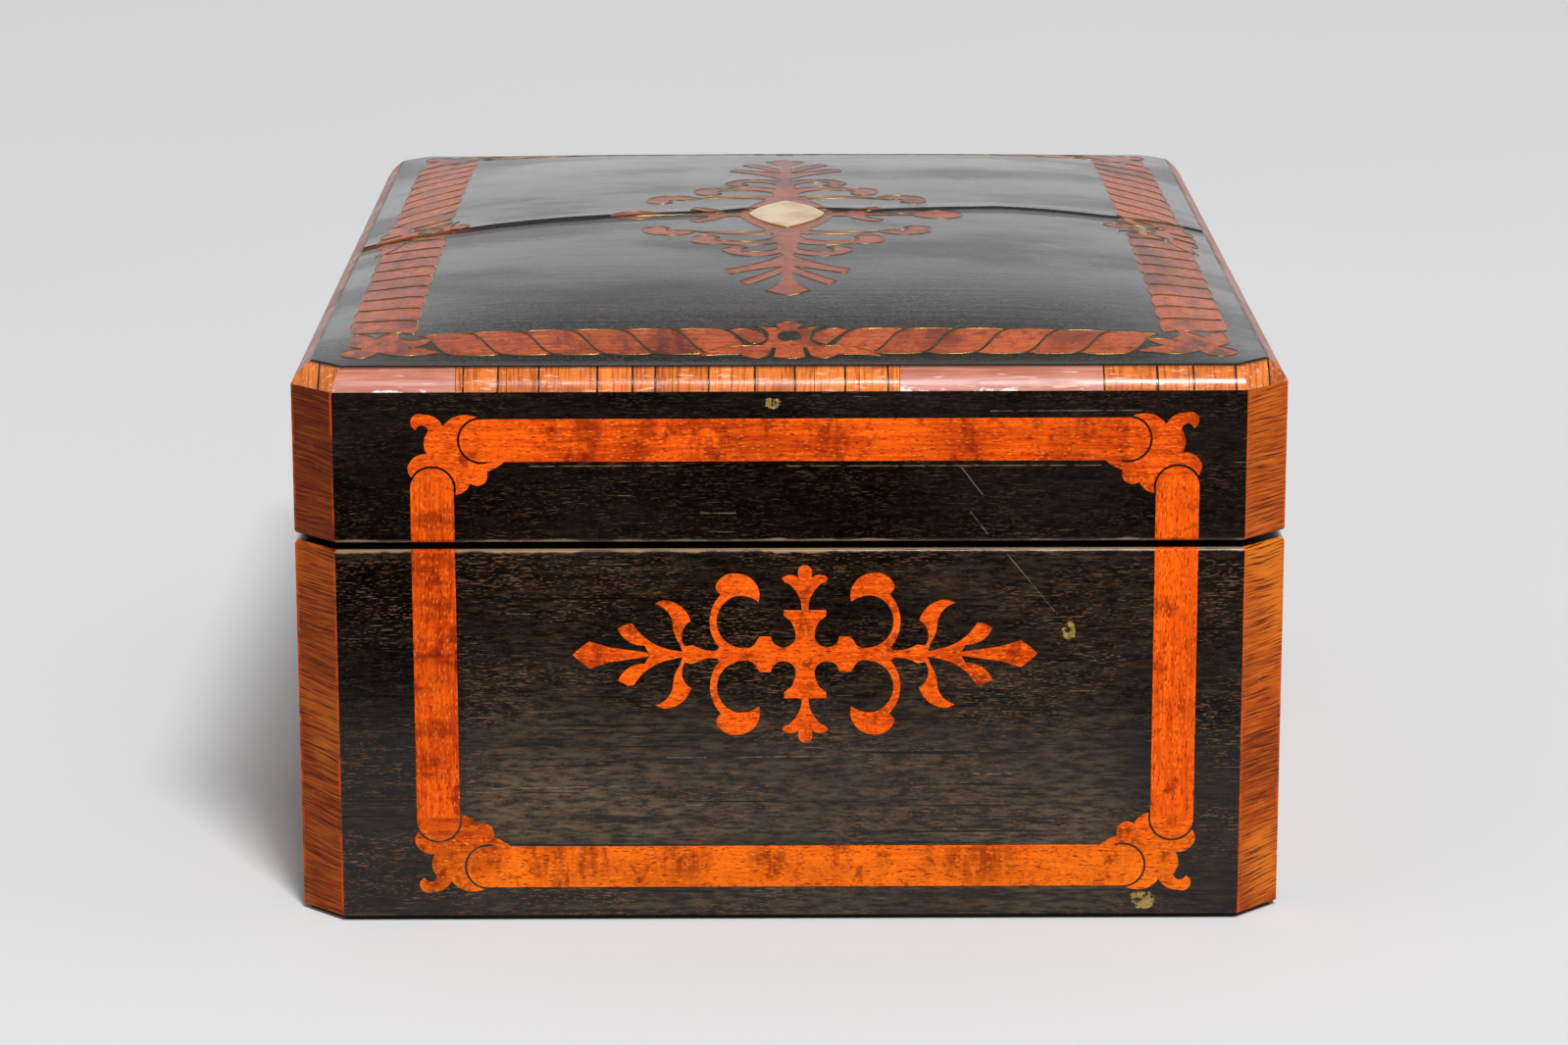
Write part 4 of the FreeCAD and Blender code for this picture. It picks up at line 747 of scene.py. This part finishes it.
def paint_inside(velvet):
    """Linings, drawer, metal work and the cloth underneath."""
    dress(velvet, "base_lining", "lid_lining")
    dress(plain_wood("oak_along", 0, OAK), "drawer_sides", "drawer_bottom")
    dress(plain_wood("oak_across", 1, OAK), "drawer_front", "drawer_back")
    dress(metal("brass", BRASS), "base_screws", "lid_screws", "hinge_base_leaves", "hinge_lid_leaves",
          "escutcheon", "lock_selvedge", "link_plate", "drawer_pin")
    dress(metal("steel", STEEL), "hinge_pins", "lock_case", "lock_bolt")
    dress(pile("baize", BAIZE, 0.2), "underside_baize")


def top_loops(name):
    """Closed outlines of the node's upper faces."""
    mesh = bmesh.new()
    mesh.from_mesh(nodes[name].data)
    bmesh.ops.remove_doubles(mesh, verts=mesh.verts, dist=1e-6)
    mesh.normal_update()
    upper = [face for face in mesh.faces if face.normal.z > 0.6]
    top = set(upper)
    follow = {}
    for face in upper:
        for loop in face.loops:
            if sum(other in top for other in loop.edge.link_faces) == 1:
                follow[loop.vert] = loop.link_loop_next.vert
    loops = []
    while follow:
        start = next(iter(follow))
        here = start
        line = []
        while here in follow:
            line.append(here.co.copy())
            here = follow.pop(here)
        loops.append(line)
    mesh.free()
    return loops


def stringing(name, source, radius, material):
    """Fine brass wire let in round the edge of each inlaid piece."""
    curve = bpy.data.curves.new(name, "CURVE")
    curve.dimensions = "3D"
    curve.bevel_depth = radius
    curve.bevel_resolution = 0
    for line in top_loops(source):
        spline = curve.splines.new("POLY")
        spline.points.add(len(line) - 1)
        for point, place in zip(spline.points, line):
            point.co = (place.x, place.y, place.z - 0.3 * radius, 1.0)
        spline.use_cyclic_u = True
    holder = bpy.data.objects.new(name + "_path", curve)
    mesh = bpy.data.meshes.new_from_object(holder)
    bpy.data.objects.remove(holder)
    piece = bpy.data.objects.new(name, mesh)
    piece.data.materials.clear()
    piece.data.materials.append(material)
    bpy.context.scene.collection.objects.link(piece)
    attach(piece, "lid")


def stops(size):
    """Places along one side of a pad, close together where its edge rolls over."""
    roll = list(PAD_ROLL)
    steps = max(int(size / PAD_STEP), 2)
    inner = [roll[-1] + (size / MM - 2 * roll[-1]) * k / steps for k in range(1, steps)]
    return [at * MM for at in roll + inner] + [size - at * MM for at in reversed(roll)]


def pad(mesh, corner, along, across, size, thick):
    """A thin stuffed panel: flat on the wall, crowned on the room side, its edges rolled and drawn in."""
    along = Vector(along)
    across = Vector(across)
    out = along.cross(across)
    rows = []
    for a in stops(size[0]):
        row = []
        for b in stops(size[1]):
            edge = min(a, size[0] - a, b, size[1] - b)
            roll = max(1.0 - edge / (PAD_ROLL[-1] * MM), 0.0)
            draw = PAD_DRAW * roll
            pull_a = draw * math.sin(math.pi * b / size[1]) * (1.0 if a < 0.5 * size[0] else -1.0)
            pull_b = draw * math.sin(math.pi * a / size[0]) * (1.0 if b < 0.5 * size[1] else -1.0)
            ripple = 0.06 * math.sin(a / (5.3 * MM)) * math.sin(b / (7.1 * MM) + a / (19 * MM))
            height = thick * (0.93 - 0.75 * roll ** 2.2 + ripple * (1.0 - roll))
            foot = Vector(corner) + along * (a + pull_a) + across * (b + pull_b)
            row.append((mesh.verts.new(foot + out * 0.02 * thick), mesh.verts.new(foot + out * height)))
        rows.append(row)
    for here, beyond in zip(rows, rows[1:]):
        for j in range(len(here) - 1):
            mesh.faces.new([here[j][1], beyond[j][1], beyond[j + 1][1], here[j + 1][1]])
            mesh.faces.new([here[j][0], here[j + 1][0], beyond[j + 1][0], beyond[j][0]])
    rim = [row[0] for row in rows] + rows[-1][1:] + [row[-1] for row in rows[-2::-1]] + rows[0][-2:0:-1]
    for here, beyond in zip(rim, rim[1:] + rim[:1]):
        mesh.faces.new([here[0], beyond[0], beyond[1], here[1]])


def bored(obj, place, radius):
    """Cuts a round hole through obj along Z."""
    bpy.ops.mesh.primitive_cylinder_add(vertices=32, radius=radius, depth=20 * MM, location=place)
    drill = bpy.context.object
    cut = obj.modifiers.new("bore", "BOOLEAN")
    cut.object = drill
    cut.solver = "EXACT"
    shape = bpy.data.meshes.new_from_object(obj.evaluated_get(bpy.context.evaluated_depsgraph_get()))
    obj.modifiers.remove(cut)
    bpy.data.objects.remove(drill)
    obj.data = shape


def lining(part, level, flat_up, walls, material):
    """Velvet pads on the flat of the base or the lid and round its four inner walls."""
    mesh = bmesh.new()
    turn = 1 if flat_up else -1
    pad(mesh, (-turn * X_IN, -Y_IN, level), (turn, 0, 0), (0, 1, 0), (2 * X_IN, 2 * Y_IN), LINING)
    low = walls[0]
    tall = walls[1] - walls[0]
    inner = Y_IN - LINING
    pad(mesh, (X_IN, -Y_IN, low), (-1, 0, 0), (0, 0, 1), (2 * X_IN, tall), LINING)
    pad(mesh, (-X_IN, Y_IN, low), (1, 0, 0), (0, 0, 1), (2 * X_IN, tall), LINING)
    pad(mesh, (-X_IN, -inner, low), (0, 1, 0), (0, 0, 1), (2 * inner, tall), LINING)
    pad(mesh, (X_IN, inner, low), (0, -1, 0), (0, 0, 1), (2 * inner, tall), LINING)
    shape = bpy.data.meshes.new(part + "_velvet_pads")
    mesh.to_mesh(shape)
    mesh.free()
    pads = bpy.data.objects.new(part + "_velvet_pads", shape)
    bpy.context.scene.collection.objects.link(pads)
    if flat_up:
        bored(pads, (PIN_X, 0, level), PIN_BORE)
    pads.data.materials.clear()
    pads.data.materials.append(material)
    pads.data.polygons.foreach_set("use_smooth", [True] * len(pads.data.polygons))
    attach(pads, part)
    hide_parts(part + "_lining")


def pale_floor():
    """A plain pale floor, a little paler with distance as the camera and reflections see it."""
    bpy.ops.mesh.primitive_plane_add(size=FLOOR_SIZE)
    floor = bpy.context.object
    floor.name = "floor"
    s = Shader("floor", {"Roughness": 0.9, "Specular IOR Level": 0.0})
    pale = s.mix(s.noise(s.scaled((2.5, 2.5, 2.5)), detail=2), *FLOOR_TONES)
    lift = s.step(s.parts()["X"], 0.0, FLOOR_LIFT_REACH, (0.0, FLOOR_LIFT))
    s.give("Base Color", pale)
    s.give("Emission Color", pale)
    s.give("Emission Strength", s.calc("MULTIPLY", s.seen(), lift))
    floor.data.materials.append(s.material)


def dark_flag():
    """A dark card on the floor before the photographed end, which only reflections see."""
    middle = -FLAG_GAP - 0.5 * FLAG_SIZE
    bpy.ops.mesh.primitive_plane_add(size=FLAG_SIZE, location=(middle, 0, FLAG_LEVEL))
    flag = bpy.context.object
    flag.name = "dark_flag"
    flag.scale = (1.0, FLAG_STRETCH, 1.0)
    s = Shader("dark_flag", {"Roughness": 1.0, "Specular IOR Level": 0.0})
    s.give("Base Color", s.mix(s.noise(s.scaled((3, 3, 3))), *FLAG_TONES))
    flag.data.materials.append(s.material)
    flag.visible_camera = False
    flag.visible_diffuse = False
    flag.visible_shadow = False


def lamp(name, bearing, height, size, power):
    """A soft round lamp, so many degrees to the camera's right and so many up from the object."""
    light = bpy.data.lights.new(name, "AREA")
    light.shape = "DISK"
    light.size = size
    light.energy = power
    away = Vector((0, 0, 1))
    away.rotate(Matrix.Rotation(math.radians(height - 90), 3, "Y"))
    away.rotate(Matrix.Rotation(math.radians(bearing), 3, "Z"))
    obj = bpy.data.objects.new(name, light)
    obj.location = Vector(LAMP_TARGET) + LAMP_REACH * away
    obj.rotation_euler = (-away).to_track_quat("-Z", "Y").to_euler()
    bpy.context.scene.collection.objects.link(obj)


def lights():
    """A soft key high on the camera's right, a weaker lamp above it and an even world.

    The camera and reflections see the world bright behind the object, and dim to its sides and above.
    """
    world = bpy.data.worlds.new("studio")
    world.use_nodes = True
    n = Tree(world.node_tree)
    way = n.add("ShaderNodeTexCoord").outputs["Generated"]
    toward = n.add("ShaderNodeSeparateXYZ", {"Vector": way}).outputs
    low = n.step(toward["X"], 0.40, 0.85, (SIDE_LEVEL, BACK_LEVEL))
    around = n.step(toward["Z"], 0.12, 0.50, (low, HIGH_LEVEL))
    levels = {"Value": n.seen(), "To Min": WORLD_LEVEL, "To Max": around}
    sky = n.tree.nodes["Background"]
    n.feed(sky.inputs["Color"], WORLD_TINT)
    n.feed(sky.inputs["Strength"], n.add("ShaderNodeMapRange", levels).outputs[0])
    bpy.context.scene.world = world
    for name, settings in LAMPS.items():
        lamp(name, *settings)


def camera():
    """The camera at the place, angle and focal length of the photograph."""
    lens = bpy.data.cameras.new("camera")
    lens.sensor_width = SENSOR_MM
    lens.lens = SENSOR_MM * FOCAL_PIXELS / IMAGE_WIDTH
    lens.clip_start = 10 * MM
    eye = bpy.data.objects.new("camera", lens)
    yaw = Matrix.Rotation(math.radians(CAMERA_YAW - 90), 4, "Z")
    pitch = Matrix.Rotation(math.radians(CAMERA_PITCH + 90), 4, "X")
    roll = Matrix.Rotation(math.radians(CAMERA_ROLL), 4, "Z")
    eye.matrix_world = Matrix.Translation(CAMERA_PLACE) @ yaw @ pitch @ roll
    bpy.context.scene.collection.objects.link(eye)
    bpy.context.scene.camera = eye


velvet_pile = pile("velvet", VELVET, 0.3)
paint_sides()
paint_lid_top()
paint_inside(velvet_pile)
lining("base", Z_FLOOR_TOP, True, BASE_PADS, velvet_pile)
lining("lid", Z_BOARD, False, LID_PADS, velvet_pile)
string_metal = metal("string_brass", STRING_BRASS, (0.3, 0.5))
for part in ("rope_border", "flowers", "arabesque"):
    stringing("string_" + part, "lid_" + part, STRING_RADIUS, string_metal)
pale_floor()
dark_flag()
lights()
camera()
bpy.context.scene.view_settings.view_transform = "Standard"
